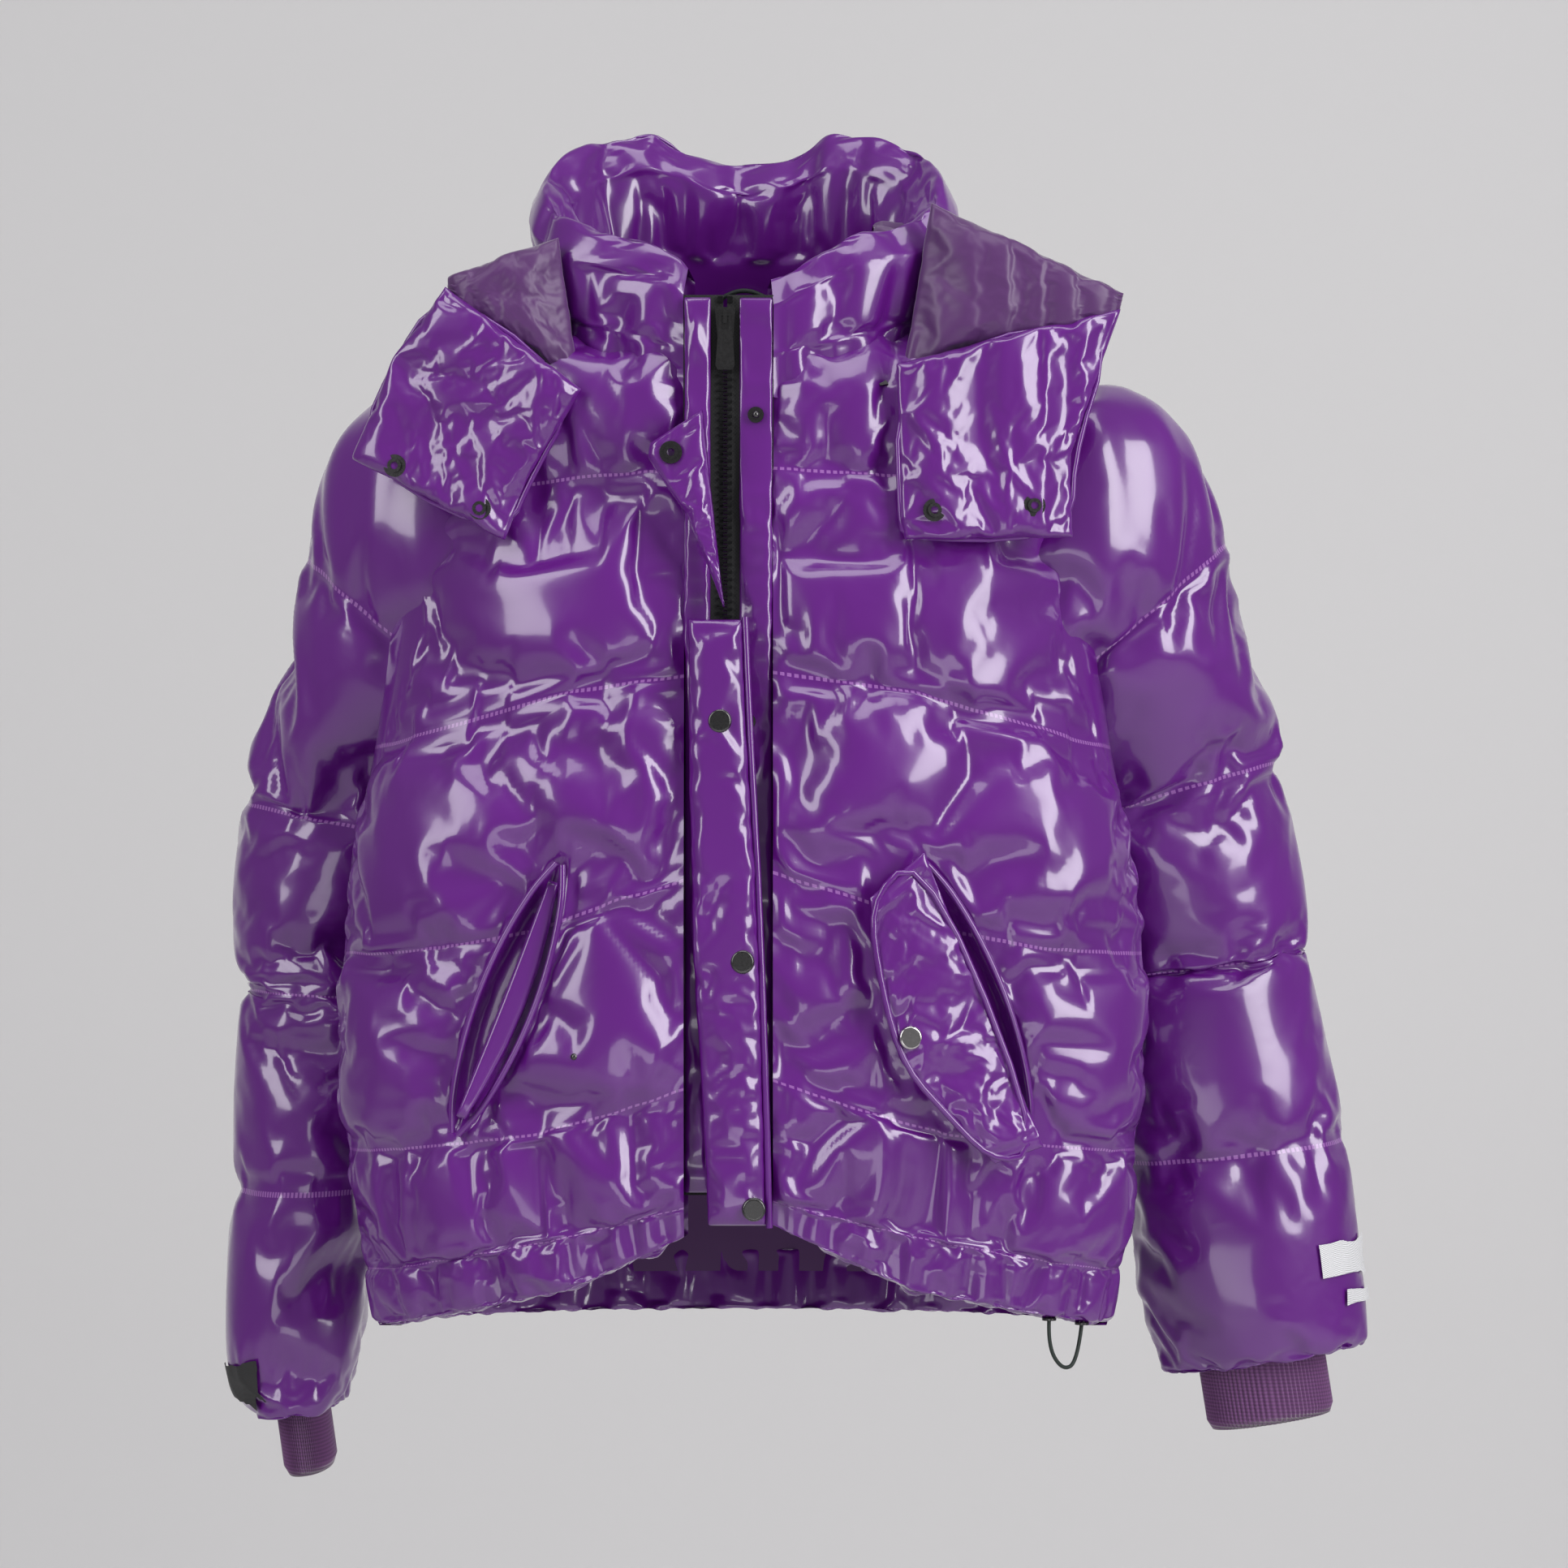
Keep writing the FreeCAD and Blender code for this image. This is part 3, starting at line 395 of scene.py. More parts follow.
def real_mesh(holder):
    """Mesh of an object with its modifiers or its curve worked out."""
    graph = bpy.context.evaluated_depsgraph_get()
    return bpy.data.meshes.new_from_object(holder.evaluated_get(graph))


def face_outwards(bm, centre, inwards=False):
    """Turn the sheet over if its faces look towards the centre line."""
    bm.normal_update()
    total = 0.0
    for face in bm.faces:
        middle = face.calc_center_median()
        total += face.normal.dot(middle - centre(middle)) * face.calc_area()
    if (total < 0) != inwards:
        bmesh.ops.reverse_faces(bm, faces=bm.faces)


def blow_up(piece, pins, pressure, slack, cap, frames=18, stiffness=6.0, bend=0.02):
    """Cloth simulation of a padded sheet: pinned seams stay, the rest fills with air."""
    group = piece.vertex_groups.new(name="pins")
    for index, weight in enumerate(pins):
        if weight > 0.0:
            group.add([index], weight, "REPLACE")
    start = [vert.co.copy() for vert in piece.data.vertices]
    for vert, weight in zip(piece.data.vertices, pins):
        if weight == 0.0:
            fold = noise.noise(Vector((vert.co.x * 48, vert.co.y * 48, vert.co.z * 7)))
            vert.co += vert.normal * (0.0035 * fold)
    cloth = piece.modifiers.new("Cloth", "CLOTH")
    settings = cloth.settings
    settings.quality = 4
    settings.mass = 0.15
    settings.tension_stiffness = stiffness
    settings.compression_stiffness = stiffness
    settings.shear_stiffness = stiffness * 0.3
    settings.bending_stiffness = bend
    settings.air_damping = 4.0
    settings.vertex_group_mass = "pins"
    settings.use_pressure = True
    settings.uniform_pressure_force = pressure
    settings.shrink_min = -slack
    settings.effector_weights.gravity = 0.0
    cloth.point_cache.frame_start = 1
    cloth.point_cache.frame_end = frames + 1
    scene = bpy.context.scene
    for step in range(1, frames + 1):
        scene.frame_set(step)
    posed = piece.evaluated_get(bpy.context.evaluated_depsgraph_get())
    result = [vert.co.copy() for vert in posed.data.vertices]
    piece.modifiers.remove(cloth)
    scene.frame_set(1)
    for vert, before, after in zip(piece.data.vertices, start, result):
        move = after - before
        if move.length > cap:
            move = move * (cap / move.length)
        vert.co = before + move
    piece.data.update()


def refine(piece, levels=1):
    """Subdivision surface with the same levels in view and render."""
    sub = piece.modifiers.new("Smooth", "SUBSURF")
    sub.levels = levels
    sub.render_levels = levels


# ---- materials -----------------------------------------------------------------------------
def nodes_of(name):
    material = bpy.data.materials.new(name)
    material.use_nodes = True
    tree = material.node_tree
    return material, tree, tree.nodes["Principled BSDF"]


def link(tree, out, into):
    tree.links.new(out, into)


def set_values(node, values):
    for name, value in values.items():
        node.inputs[name].default_value = value


def object_coords(tree):
    return tree.nodes.new("ShaderNodeTexCoord").outputs["Object"]


def two_tones(tree, color, low, high, factor):
    """Colour that varies between a darker and a lighter tone."""
    tone = tree.nodes.new("ShaderNodeMix")
    tone.data_type = "RGBA"
    tone.inputs["A"].default_value = (*[c * low for c in color], 1)
    tone.inputs["B"].default_value = (*[min(c * high, 1) for c in color], 1)
    link(tree, factor, tone.inputs["Factor"])
    return tone.outputs["Result"]


def math_step(group, kind, a, b):
    """Math node in a group, whose inputs are sockets or plain numbers."""
    node = group.nodes.new("ShaderNodeMath")
    node.operation = kind
    for socket, value in zip(node.inputs, (a, b)):
        if isinstance(value, float):
            socket.default_value = value
        else:
            link(group, value, socket)
    return node.outputs[0]


def group_creases():
    """Fine creases of thin coated fabric as a height, at two scales."""
    group = bpy.data.node_groups.new("Fabric creases", "ShaderNodeTree")
    group.interface.new_socket("Vector", in_out="INPUT", socket_type="NodeSocketVector")
    size = group.interface.new_socket("Scale", in_out="INPUT", socket_type="NodeSocketFloat")
    size.default_value = 30.0
    group.interface.new_socket("Height", in_out="OUTPUT", socket_type="NodeSocketFloat")
    start = group.nodes.new("NodeGroupInput")
    end = group.nodes.new("NodeGroupOutput")
    heights = []
    for factor, weight in ((1.0, 1.0), (2.7, 0.45)):
        wrinkle = group.nodes.new("ShaderNodeTexNoise")
        wrinkle.noise_type = "RIDGED_MULTIFRACTAL"
        set_values(wrinkle, {"Detail": 2.0, "Roughness": 0.45, "Distortion": 0.6})
        link(group, start.outputs["Vector"], wrinkle.inputs["Vector"])
        scaled = math_step(group, "MULTIPLY", start.outputs["Scale"], factor)
        link(group, scaled, wrinkle.inputs["Scale"])
        heights.append(math_step(group, "MULTIPLY", wrinkle.outputs[0], weight))
    link(group, math_step(group, "ADD", *heights), end.inputs["Height"])
    return group


def place_group(tree, group, scale):
    """Put a height group into a material, reading object coordinates."""
    node = tree.nodes.new("ShaderNodeGroup")
    node.node_tree = group
    node.inputs["Scale"].default_value = scale
    link(tree, object_coords(tree), node.inputs["Vector"])
    return node.outputs["Height"]


def bump(tree, shader, height, strength, distance):
    """Relief from a height, in metres at full strength."""
    node = tree.nodes.new("ShaderNodeBump")
    set_values(node, {"Strength": strength, "Distance": distance})
    link(tree, height, node.inputs["Height"])
    link(tree, node.outputs["Normal"], shader.inputs["Normal"])


def group_stitches():
    """Dashes of thread on the seams, from the piece's own stitch map, as a mask."""
    group = bpy.data.node_groups.new("Seam stitches", "ShaderNodeTree")
    for name, value in (("Length", 0.0034), ("Width", 0.0010)):
        socket = group.interface.new_socket(name, in_out="INPUT", socket_type="NodeSocketFloat")
        socket.default_value = value
    group.interface.new_socket("Mask", in_out="OUTPUT", socket_type="NodeSocketFloat")
    start = group.nodes.new("NodeGroupInput")
    end = group.nodes.new("NodeGroupOutput")
    marks = group.nodes.new("ShaderNodeAttribute")
    marks.attribute_name = "stitch"
    parts = group.nodes.new("ShaderNodeSeparateXYZ")
    link(group, marks.outputs["Vector"], parts.inputs[0])

    stitch = math_step(group, "FRACT", math_step(
        group, "DIVIDE", parts.outputs[0], start.outputs["Length"]), 0.0)
    dash = math_step(group, "LESS_THAN", stitch, 0.62)
    near = math_step(group, "LESS_THAN", parts.outputs[1], start.outputs["Width"])
    mask = math_step(group, "MULTIPLY", math_step(group, "MULTIPLY", dash, near),
                     parts.outputs[2])
    link(group, mask, end.inputs["Mask"])
    return group


def shell_material(color, creases, stitches, length):
    """Glossy coated nylon: saturated colour under a clear wet-look coat."""
    material, tree, shader = nodes_of("Coated shell")
    cloud = tree.nodes.new("ShaderNodeTexNoise")
    cloud.inputs["Scale"].default_value = 9.0
    link(tree, object_coords(tree), cloud.inputs["Vector"])
    thread = tree.nodes.new("ShaderNodeGroup")
    thread.node_tree = stitches
    thread.inputs["Length"].default_value = length
    sewn = tree.nodes.new("ShaderNodeMix")
    sewn.data_type = "RGBA"
    sewn.inputs["B"].default_value = (0.30, 0.11, 0.40, 1)
    link(tree, thread.outputs["Mask"], sewn.inputs["Factor"])
    link(tree, two_tones(tree, color, 0.82, 1.22, cloud.outputs[0]), sewn.inputs["A"])
    link(tree, sewn.outputs["Result"], shader.inputs["Base Color"])
    set_values(shader, {"Roughness": 0.30, "Specular IOR Level": 0.5, "Coat Weight": 0.85,
                        "Coat Roughness": 0.10, "Coat IOR": 1.55})
    bump(tree, shader, place_group(tree, creases, 26.0), 0.22, 0.0016)
    return material


def satin_material(color, creases):
    """Soft satin with a little sheen."""
    material, tree, shader = nodes_of("Satin lining")
    set_values(shader, {"Base Color": (*color, 1), "Roughness": 0.42, "Sheen Weight": 0.35,
                        "Sheen Roughness": 0.4})
    bump(tree, shader, place_group(tree, creases, 18.0), 0.2, 0.001)
    return material


def rib_material(color):
    """Rib knit with fine rows across the ribs."""
    material, tree, shader = nodes_of("Rib knit")
    rows = tree.nodes.new("ShaderNodeTexWave")
    rows.inputs["Scale"].default_value = 130.0
    rows.bands_direction = "Z"
    link(tree, object_coords(tree), rows.inputs["Vector"])
    link(tree, two_tones(tree, color, 0.75, 1.15, rows.outputs["Fac"]),
         shader.inputs["Base Color"])
    set_values(shader, {"Roughness": 0.85, "Sheen Weight": 0.5})
    bump(tree, shader, rows.outputs["Fac"], 0.5, 0.0004)
    return material


def metal_material(name, color, roughness):
    """Plated metal with slightly uneven polish."""
    material, tree, shader = nodes_of(name)
    set_values(shader, {"Base Color": (*color, 1), "Metallic": 1.0})
    wear = tree.nodes.new("ShaderNodeTexNoise")
    wear.inputs["Scale"].default_value = 700.0
    link(tree, object_coords(tree), wear.inputs["Vector"])
    spread = tree.nodes.new("ShaderNodeMapRange")
    spread.inputs["To Min"].default_value = roughness * 0.7
    spread.inputs["To Max"].default_value = roughness * 1.5
    link(tree, wear.outputs[0], spread.inputs["Value"])
    link(tree, spread.outputs[0], shader.inputs["Roughness"])
    return material


def woven_material(name, color, scale, roughness=0.75):
    """Plain weave of tapes, cords and badges."""
    material, tree, shader = nodes_of(name)
    weave = tree.nodes.new("ShaderNodeTexChecker")
    set_values(weave, {"Scale": scale, "Color1": (*[c * 0.7 for c in color], 1),
                       "Color2": (*[c * 1.4 for c in color], 1)})
    link(tree, object_coords(tree), weave.inputs["Vector"])
    link(tree, weave.outputs["Color"], shader.inputs["Base Color"])
    shader.inputs["Roughness"].default_value = roughness
    bump(tree, shader, weave.outputs["Fac"], 0.4, 0.0003)
    return material


MATERIALS = {}


def make_materials(shell, trim):
    creases = group_creases()
    MATERIALS["shell"] = shell_material(shell.color, creases, group_stitches(), trim.stitch)
    MATERIALS["satin"] = satin_material(shell.satin, creases)
    MATERIALS["rib"] = rib_material(shell.rib)
    MATERIALS["gunmetal"] = metal_material("Gunmetal", (0.10, 0.098, 0.10), 0.26)
    MATERIALS["bright"] = metal_material("Bright nickel", (0.52, 0.50, 0.50), 0.16)
    MATERIALS["tape"] = woven_material("Zip tape", (0.010, 0.010, 0.011), 900.0)
    MATERIALS["teeth"] = metal_material("Zip teeth", (0.035, 0.035, 0.037), 0.3)
    MATERIALS["cord"] = woven_material("Elastic cord", (0.012, 0.020, 0.017), 1300.0, 0.6)
    MATERIALS["badge"] = woven_material("Badge", (0.018, 0.018, 0.019), 1200.0, 0.55)
    MATERIALS["print"] = woven_material("Print", (0.62, 0.62, 0.64), 1500.0, 0.5)


def body_core(p):
    """Point of the body's middle line at the height of p."""
    return Vector((0, CORE_Y, p.z))


# ---- pieces --------------------------------------------------------------------------------
def sew(piece, body, nodes):
    """Fix a finished piece to its body and hide the CAD pieces it stands for."""
    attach(piece, body)
    if nodes:
        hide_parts(*nodes)


def smoothstep(low, high, value):
    """0 at low, 1 at high, and smooth between them."""
    k = min(max((value - low) / (high - low), 0.0), 1.0)
    return k * k * (3 - 2 * k)


def pick_level(count, v):
    """Which chamber v falls in, and how far through it."""
    place = min(max(v, 0.0), 1.0) * (count - 1)
    i = min(int(place + 1e-6), count - 2)
    return i, place - i


def mark_stitches(piece, count, wide):
    """Store the run along the nearest seam and the distance from it, in metres."""
    marks = piece.data.attributes.new("stitch", "FLOAT_VECTOR", "POINT").data
    for index, (u, v) in enumerate(cut_map(piece)):
        place = v * (count - 1)
        marks[index].vector = (u * wide, abs(place - round(place)) * SEAM_SPAN, 1.0)


def at_end(u):
    """True on the first and last column of a grid."""
    return u < 1e-4 or u > 1 - 1e-4


def seam_pins(piece, count, ends=True, extra=None):
    """Pin weight of each point: 1 on the seams between chambers and at both ends."""
    weights = []
    for vert, (u, v) in zip(piece.data.vertices, cut_map(piece)):
        place = v * (count - 1)
        pinned = abs(place - round(place)) < 0.02 or ends and at_end(u)
        pinned = pinned or extra is not None and extra(vert.co)
        weights.append(1.0 if pinned else 0.0)
    return weights


def edge_pins(piece, margin):
    """Pin weight of each point: 1 near the outline of the piece."""
    return [1.0 if min(u, 1 - u, v, 1 - v) < margin else 0.0 for u, v in cut_map(piece)]


def body_angle(z, x):
    """Angle on the body section of a front point at a distance from the middle."""
    half = between(BODY_ROWS, z)[0]
    return -math.acos(min(1.0, (x / half) ** (POWER / 2)))


def front_point(side, edge, u, upper, lower, k, out):
    """Point of a front between two seams: u runs from the zip edge to the side seam."""
    z = mix(upper(0.1), lower(0.1), k)
    for _ in range(3):
        angle = body_angle(z, edge) * (1 - u) + SIDE_ANGLE * u
        x = abs(body_point(angle, z).x)
        z = mix(upper(x), lower(x), k)
    p = body_point(angle, z, out)
    return Vector((side * p.x, p.y, p.z))


def pocket_line(co, side):
    """Signed distance from the pocket's slit, outwards, and how far along it a front point is."""
    top = Vector(POCKET_TOP)
    run = Vector(POCKET_END) - top
    p = Vector((co.x * side, co.z)) - top
    return (p.x * -run.y + p.y * run.x) / run.length, p.dot(run) / run.dot(run)


def lens(k):
    """Half width of the pushed-in pocket mouth along its length."""
    return POCKET_HALF * math.sin(math.pi * min(max(k, 0.0), 1.0)) ** 0.7


def mouth_point(k, gap):
    """x and z of a point along the left pocket's slit, at a distance outwards from it."""
    return [mix(top, end, k) + gap * across
            for top, end, across in zip(POCKET_TOP, POCKET_END, POCKET_ACROSS)]


def x_at(edge, z):
    """Distance from the middle of an edge of (x, z) points at a height."""
    for (x0, z0), (x1, z1) in zip(edge, edge[1:]):
        if z1 <= z <= z0:
            return x0 + (x1 - x0) * (z0 - z) / (z0 - z1)
    return None


def under_flap(co):
    """True behind the left pocket's flap."""
    free = x_at(POCKET_FLAP[0], co.z)
    hinge = x_at(POCKET_FLAP[1], co.z)
    if co.y > CHEST_Y or free is None and hinge is None:
        return False
    low = free - 0.006 if free is not None else 0.078
    high = hinge + 0.010 if hinge is not None else 0.196
    return low < co.x < high


def in_armhole(co):
    """True where the sleeve covers the body."""
    edge = ARMHOLE_X + max(0.0, (-co.z - ARMHOLE_BEND)) * ARMHOLE_SLANT
    return ARMHOLE_LOW < co.z < ARMHOLE_HIGH and abs(co.x) > edge


class JACKET_OT_stage(bpy.types.Operator):
    """Camera, soft studio light and plain pale backdrop"""
    bl_idname = "jacket.stage"
    bl_label = "Stage"

    def execute(self, context):
        camera = bpy.data.cameras.new("Camera")
        camera.lens = CAMERA_LENS
        camera.sensor_width = 36.0
        eye = bpy.data.objects.new("Camera", camera)
        eye.location = CAMERA_SPOT
        eye.rotation_euler = (math.radians(90), 0, 0)
        context.scene.collection.objects.link(eye)
        context.scene.camera = eye
        for lamp in LAMPS:
            self.lamp(context, *lamp)
        world = bpy.data.worlds.new("Studio")
        world.use_nodes = True
        set_values(world.node_tree.nodes["Background"],
                   {"Color": (0.8, 0.8, 0.82, 1), "Strength": 0.24})
        context.scene.world = world
        context.scene.view_settings.view_transform = "Standard"
        self.backdrop()
        return {"FINISHED"}

    def lamp(self, context, name, spot, wide, high, watts):
        light = bpy.data.lights.new(name, "AREA")
        light.shape = "RECTANGLE"
        light.size = wide
        light.size_y = high
        light.energy = watts
        lamp = bpy.data.objects.new(name, light)
        lamp.location = spot
        lamp.rotation_euler = (LIGHT_AIM - Vector(spot)).to_track_quat("-Z", "Y").to_euler()
        context.scene.collection.objects.link(lamp)

    def backdrop(self):
        """Floor that curves up into a wall behind the jacket."""
        wide, near, far, tall = 12, -5, 1.2, 5
        floor, bend = -1.75, 0.8
        floor_share, wall_share = 0.4, 0.6

        def place(u, v):
            x = (u - 0.5) * wide
            if v < floor_share:
                return Vector((x, mix(near, far, v / floor_share), floor))
            if v < wall_share:
                t = (v - floor_share) / (wall_share - floor_share) * math.pi / 2
                return Vector((x, far + bend * math.sin(t), floor + bend - bend * math.cos(t)))
            up = (v - wall_share) / (1 - wall_share) * tall
            return Vector((x, far + bend, floor + bend + up))

        bm = map_grid(2, 60, place)
        material, _, shader = nodes_of("Backdrop")
        set_values(shader, {"Base Color": (0.74, 0.73, 0.735, 1), "Roughness": 0.9})
        add_object("backdrop", bm, material)


class JACKET_OT_cord(bpy.types.Operator):
    """Elastic cord loop that hangs from the hem"""
    bl_idname = "jacket.cord"
    bl_label = "Hem cord loop"

    def execute(self, context):
        trim = context.scene.jacket_trim
        curve = bpy.data.curves.new("hem_cord", "CURVE")
        curve.dimensions = "3D"
        curve.bevel_depth = trim.cord / 2
        curve.bevel_resolution = 4
        spline = curve.splines.new("NURBS")
        spline.points.add(len(CORD_ROUTE) - 1)
        for point, place in zip(spline.points, CORD_ROUTE):
            point.co = (place[0], place[1] + FORWARD, place[2], 1.0)
        spline.order_u = 3
        spline.use_endpoint_u = True
        piece = bpy.data.objects.new("hem_cord", curve)
        context.scene.collection.objects.link(piece)
        curve.materials.append(MATERIALS["cord"])
        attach(piece, "jacket")
        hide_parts("hem_cord_loop")
        return {"FINISHED"}


class JACKET_OT_fronts(bpy.types.Operator):
    """Left and right padded fronts with their quilting seams and hem bands"""
    bl_idname = "jacket.fronts"
    bl_label = "Fronts"

    def execute(self, context):
        shell = context.scene.jacket_shell
        lines = [lambda x: NECK_Z]
        lines += [lambda x, p=p: line(p, x) for p in FRONT_SEAMS]
        lines += [lambda x: line(HEM_EDGE, x), lambda x: line(HEM_EDGE, x),
                  lambda x: line(HEM_EDGE, x) + 0.04]
        count = len(lines)
        for name, side, edge in (("left", 1, FRONT_LEFT_EDGE), ("right", -1, -FRONT_RIGHT_EDGE)):
            def place(u, v):
                i, k = pick_level(count, v)
                out = mix(SEAM_OUTS[i], SEAM_OUTS[i + 1], k)
                p = front_point(side, edge, u, lines[i], lines[i + 1], k, out)
                gap, run = pocket_line(p, side)
                if 0 < run < 1 and p.y < CHEST_Y and abs(gap) < lens(run):
                    p.y += POCKET_DEPTH * (1 - (abs(gap) / lens(run)) ** 2) ** 0.5
                return p

            def held(co):
                gap, run = pocket_line(co, side)
                near = -0.02 < run < 1.02 and abs(gap) < lens(run) + 0.004 and co.y < -0.12
                return near or in_armhole(co) or side > 0 and under_flap(co)

            bm = map_grid(76, 19 * (count - 1), place)
            face_outwards(bm, body_core)
            slit = []
            for face in bm.faces:
                middle = face.calc_center_median()
                gap, run = pocket_line(middle, side)
                if abs(gap) < 0.0022 and 0.08 < run < 0.92 and middle.y < CHEST_Y:
                    slit.append(face)
            bmesh.ops.delete(bm, geom=slit, context="FACES")
            piece = add_object("front_" + name, bm, MATERIALS["shell"])
            mark_stitches(piece, count, 0.30)
            blow_up(piece, seam_pins(piece, count, extra=held), shell.puff, shell.slack, 0.026)
            refine(piece)
            sew(piece, "jacket", ("front_panel_" + name, "hem_band_" + name))
        return {"FINISHED"}


class JACKET_OT_back(bpy.types.Operator):
    """Padded back with its hem band"""
    bl_idname = "jacket.back"
    bl_label = "Back"

    def execute(self, context):
        shell = context.scene.jacket_shell
        levels = [NECK_Z] + list(BACK_SEAMS) + [HEM_Z, HEM_Z, HEM_Z + 0.04]

        def place(u, v):
            i, k = pick_level(len(levels), v)
            return body_point(SIDE_ANGLE + u * (math.pi - 2 * SIDE_ANGLE),
                              mix(levels[i], levels[i + 1], k),
                              mix(SEAM_OUTS[i], SEAM_OUTS[i + 1], k))

        bm = map_grid(120, 15 * (len(levels) - 1), place)
        face_outwards(bm, body_core)
        piece = add_object("back", bm, MATERIALS["shell"])
        mark_stitches(piece, len(levels), 0.60)
        pins = seam_pins(piece, len(levels), extra=in_armhole)
        blow_up(piece, pins, shell.puff * 0.8, shell.slack, 0.024)
        refine(piece)
        sew(piece, "jacket", ("back_panel", "hem_band_back"))
        return {"FINISHED"}


class JACKET_OT_linings(bpy.types.Operator):
    """Satin lining of the body"""
    bl_idname = "jacket.linings"
    bl_label = "Linings"

    def execute(self, context):
        def place(u, v):
            bottom = LINING_HEM
            for _ in range(3):
                z = mix(LINING_TOP, bottom, v)
                start = body_angle(z, FRONT_LEFT_EDGE)
                end = math.pi - body_angle(z, -FRONT_RIGHT_EDGE)
                p = body_point(mix(start, end, u), z, LINING_OUT)
                hem = line(HEM_EDGE, p.x) + 0.025
                bottom = mix(LINING_HEM, hem, smoothstep(-0.065, -0.085, p.y))
            return p

        bm = map_grid(140, 70, place)
        face_outwards(bm, body_core, inwards=True)
        piece = add_object("lining", bm, MATERIALS["satin"])
        sew(piece, "jacket", ("body_lining",))
        return {"FINISHED"}


class JACKET_OT_sleeves(bpy.types.Operator):
    """Upper and lower padded sleeves"""
    bl_idname = "jacket.sleeves"
    bl_label = "Sleeves"

    def execute(self, context):
        for name, side, rows, upper, lower in SLEEVE_SEAMS:
            self.tube(context, "upper", name, side, rows, upper)
            self.tube(context, "lower", name, side, rows, lower)
        return {"FINISHED"}

    def share_at(self, rows, z):
        """Share of the sleeve's length at which its middle line is at a height."""
        low, high = 0.0, 1.0
        for _ in range(30):
            middle = (low + high) / 2
            if along(rows, middle)[2] > z:
                low = middle
            else:
                high = middle
        return low

    def tube(self, context, part, name, side, rows, seams):
        """Padded tube between seams, whose lower part is turned in at its end."""
        folded = part == "lower"
        shell = context.scene.jacket_shell
        shares = [self.share_at(rows, z) for z in seams]
        outs = [-0.004] * len(shares)
        if folded:
            shares += [1.0, 0.985]
            outs += [-0.014, -0.0145]
        count = len(shares)

        def place(u, v):
            i, k = pick_level(count, v)
            share = mix(shares[i], shares[i + 1], k)
            out = mix(outs[i], outs[i + 1], k)
            return sleeve_point(rows, side, math.pi + u * 2 * math.pi, share, out)

        bm = map_grid(84, 24 * (count - 1), place, closed=True)
        middles = [sleeve_middle(rows, side, i / 40) for i in range(41)]
        face_outwards(bm, lambda p: min(middles, key=lambda c: (c - p).length))
        piece = add_object("%s_arm_%s" % (part, name), bm, MATERIALS["shell"])
        mark_stitches(piece, count, 0.42)
        blow_up(piece, seam_pins(piece, count), shell.puff * 0.9, shell.slack, 0.022)
        refine(piece)
        if folded:
            start = sleeve_middle(rows, side, shares[0])
            end = sleeve_middle(rows, side, shares[0] + 0.10)
            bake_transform(piece)
        else:
            start = sleeve_middle(rows, side, 0.02)
            end = sleeve_middle(rows, side, 0.30)
            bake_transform(piece)
        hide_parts("%s_sleeve_%s" % (part, name))


class JACKET_OT_marks(bpy.types.Operator):
    """Plain printed bars on the left sleeve and plain badge on the right one"""
    bl_idname = "jacket.marks"
    bl_label = "Sleeve marks"

    def execute(self, context):
        for node in ("bar_high", "bar_low"):
            piece = self.patch(node, "lower_arm_left", MARK_SPOTS[node], MATERIALS["print"])
            sew(piece, "forearm_left", ("sleeve_bars",))
        piece = self.patch("badge_patch", "lower_arm_right", MARK_SPOTS["badge_patch"],
                           MATERIALS["badge"])
        sew(piece, "forearm_right", ("sleeve_badge",))
        return {"FINISHED"}

    def patch(self, name, sleeve, spot, material):
        """Thin patch laid on the sleeve by projection from outside."""
        side, rows, angles, shares = spot

        def place(u, v):
            return sleeve_point(rows, side, math.radians(mix(*angles, u)), mix(*shares, v), 0.030)

        bm = map_grid(40, 28, place)
        face_outwards(bm, lambda p: sleeve_middle(rows, side, (shares[0] + shares[1]) / 2))
        piece = add_object(name, bm, material)
        wrap = piece.modifiers.new("Lay on sleeve", "SHRINKWRAP")
        wrap.target = bpy.data.objects[sleeve]
        wrap.wrap_method = "NEAREST_SURFACEPOINT"
        wrap.offset = 0.0022
        laid = real_mesh(piece)
        piece.modifiers.clear()
        piece.data = laid
        return piece


class JACKET_OT_cuffs(bpy.types.Operator):
    """Ribbed knit cuffs"""
    bl_idname = "jacket.cuffs"
    bl_label = "Cuffs"

    def execute(self, context):
        ribs = context.scene.jacket_trim.ribs
        for name, side, rows, half, deep in CUFFS:
            x, y, z, _, _, tilt = rows[-1]
            t = math.radians(tilt)
            across = Vector((side * math.cos(t), 0, math.sin(t)))
            down = Vector((side * math.sin(t), 0, -math.cos(t)))
            middle = Vector((side * x, y + FORWARD, z))

            def place(u, v):
                angle = u * 2 * math.pi
                cx, cy = rounded(angle)
                wave = 0.0007 * math.cos(ribs * angle)
                if v < 0.5:
                    run, out = mix(-CUFF_OUTER, CUFF_BELOW, v * 2), wave
                else:
                    run, out = mix(CUFF_BELOW, -CUFF_INNER, v * 2 - 1), wave - 0.0028
                return (middle + down * run + across * (cx * (half + out))
                        + Vector((0, cy * (deep + out), 0)))

            bm = map_grid(ribs * 6, 24, place, closed=True)
            face_outwards(bm, lambda p: middle + down * (p - middle).dot(down))
            piece = add_object("cuff_knit_" + name, bm, MATERIALS["rib"])
            sew(piece, "forearm_" + name, ("cuff_" + name,))
        return {"FINISHED"}


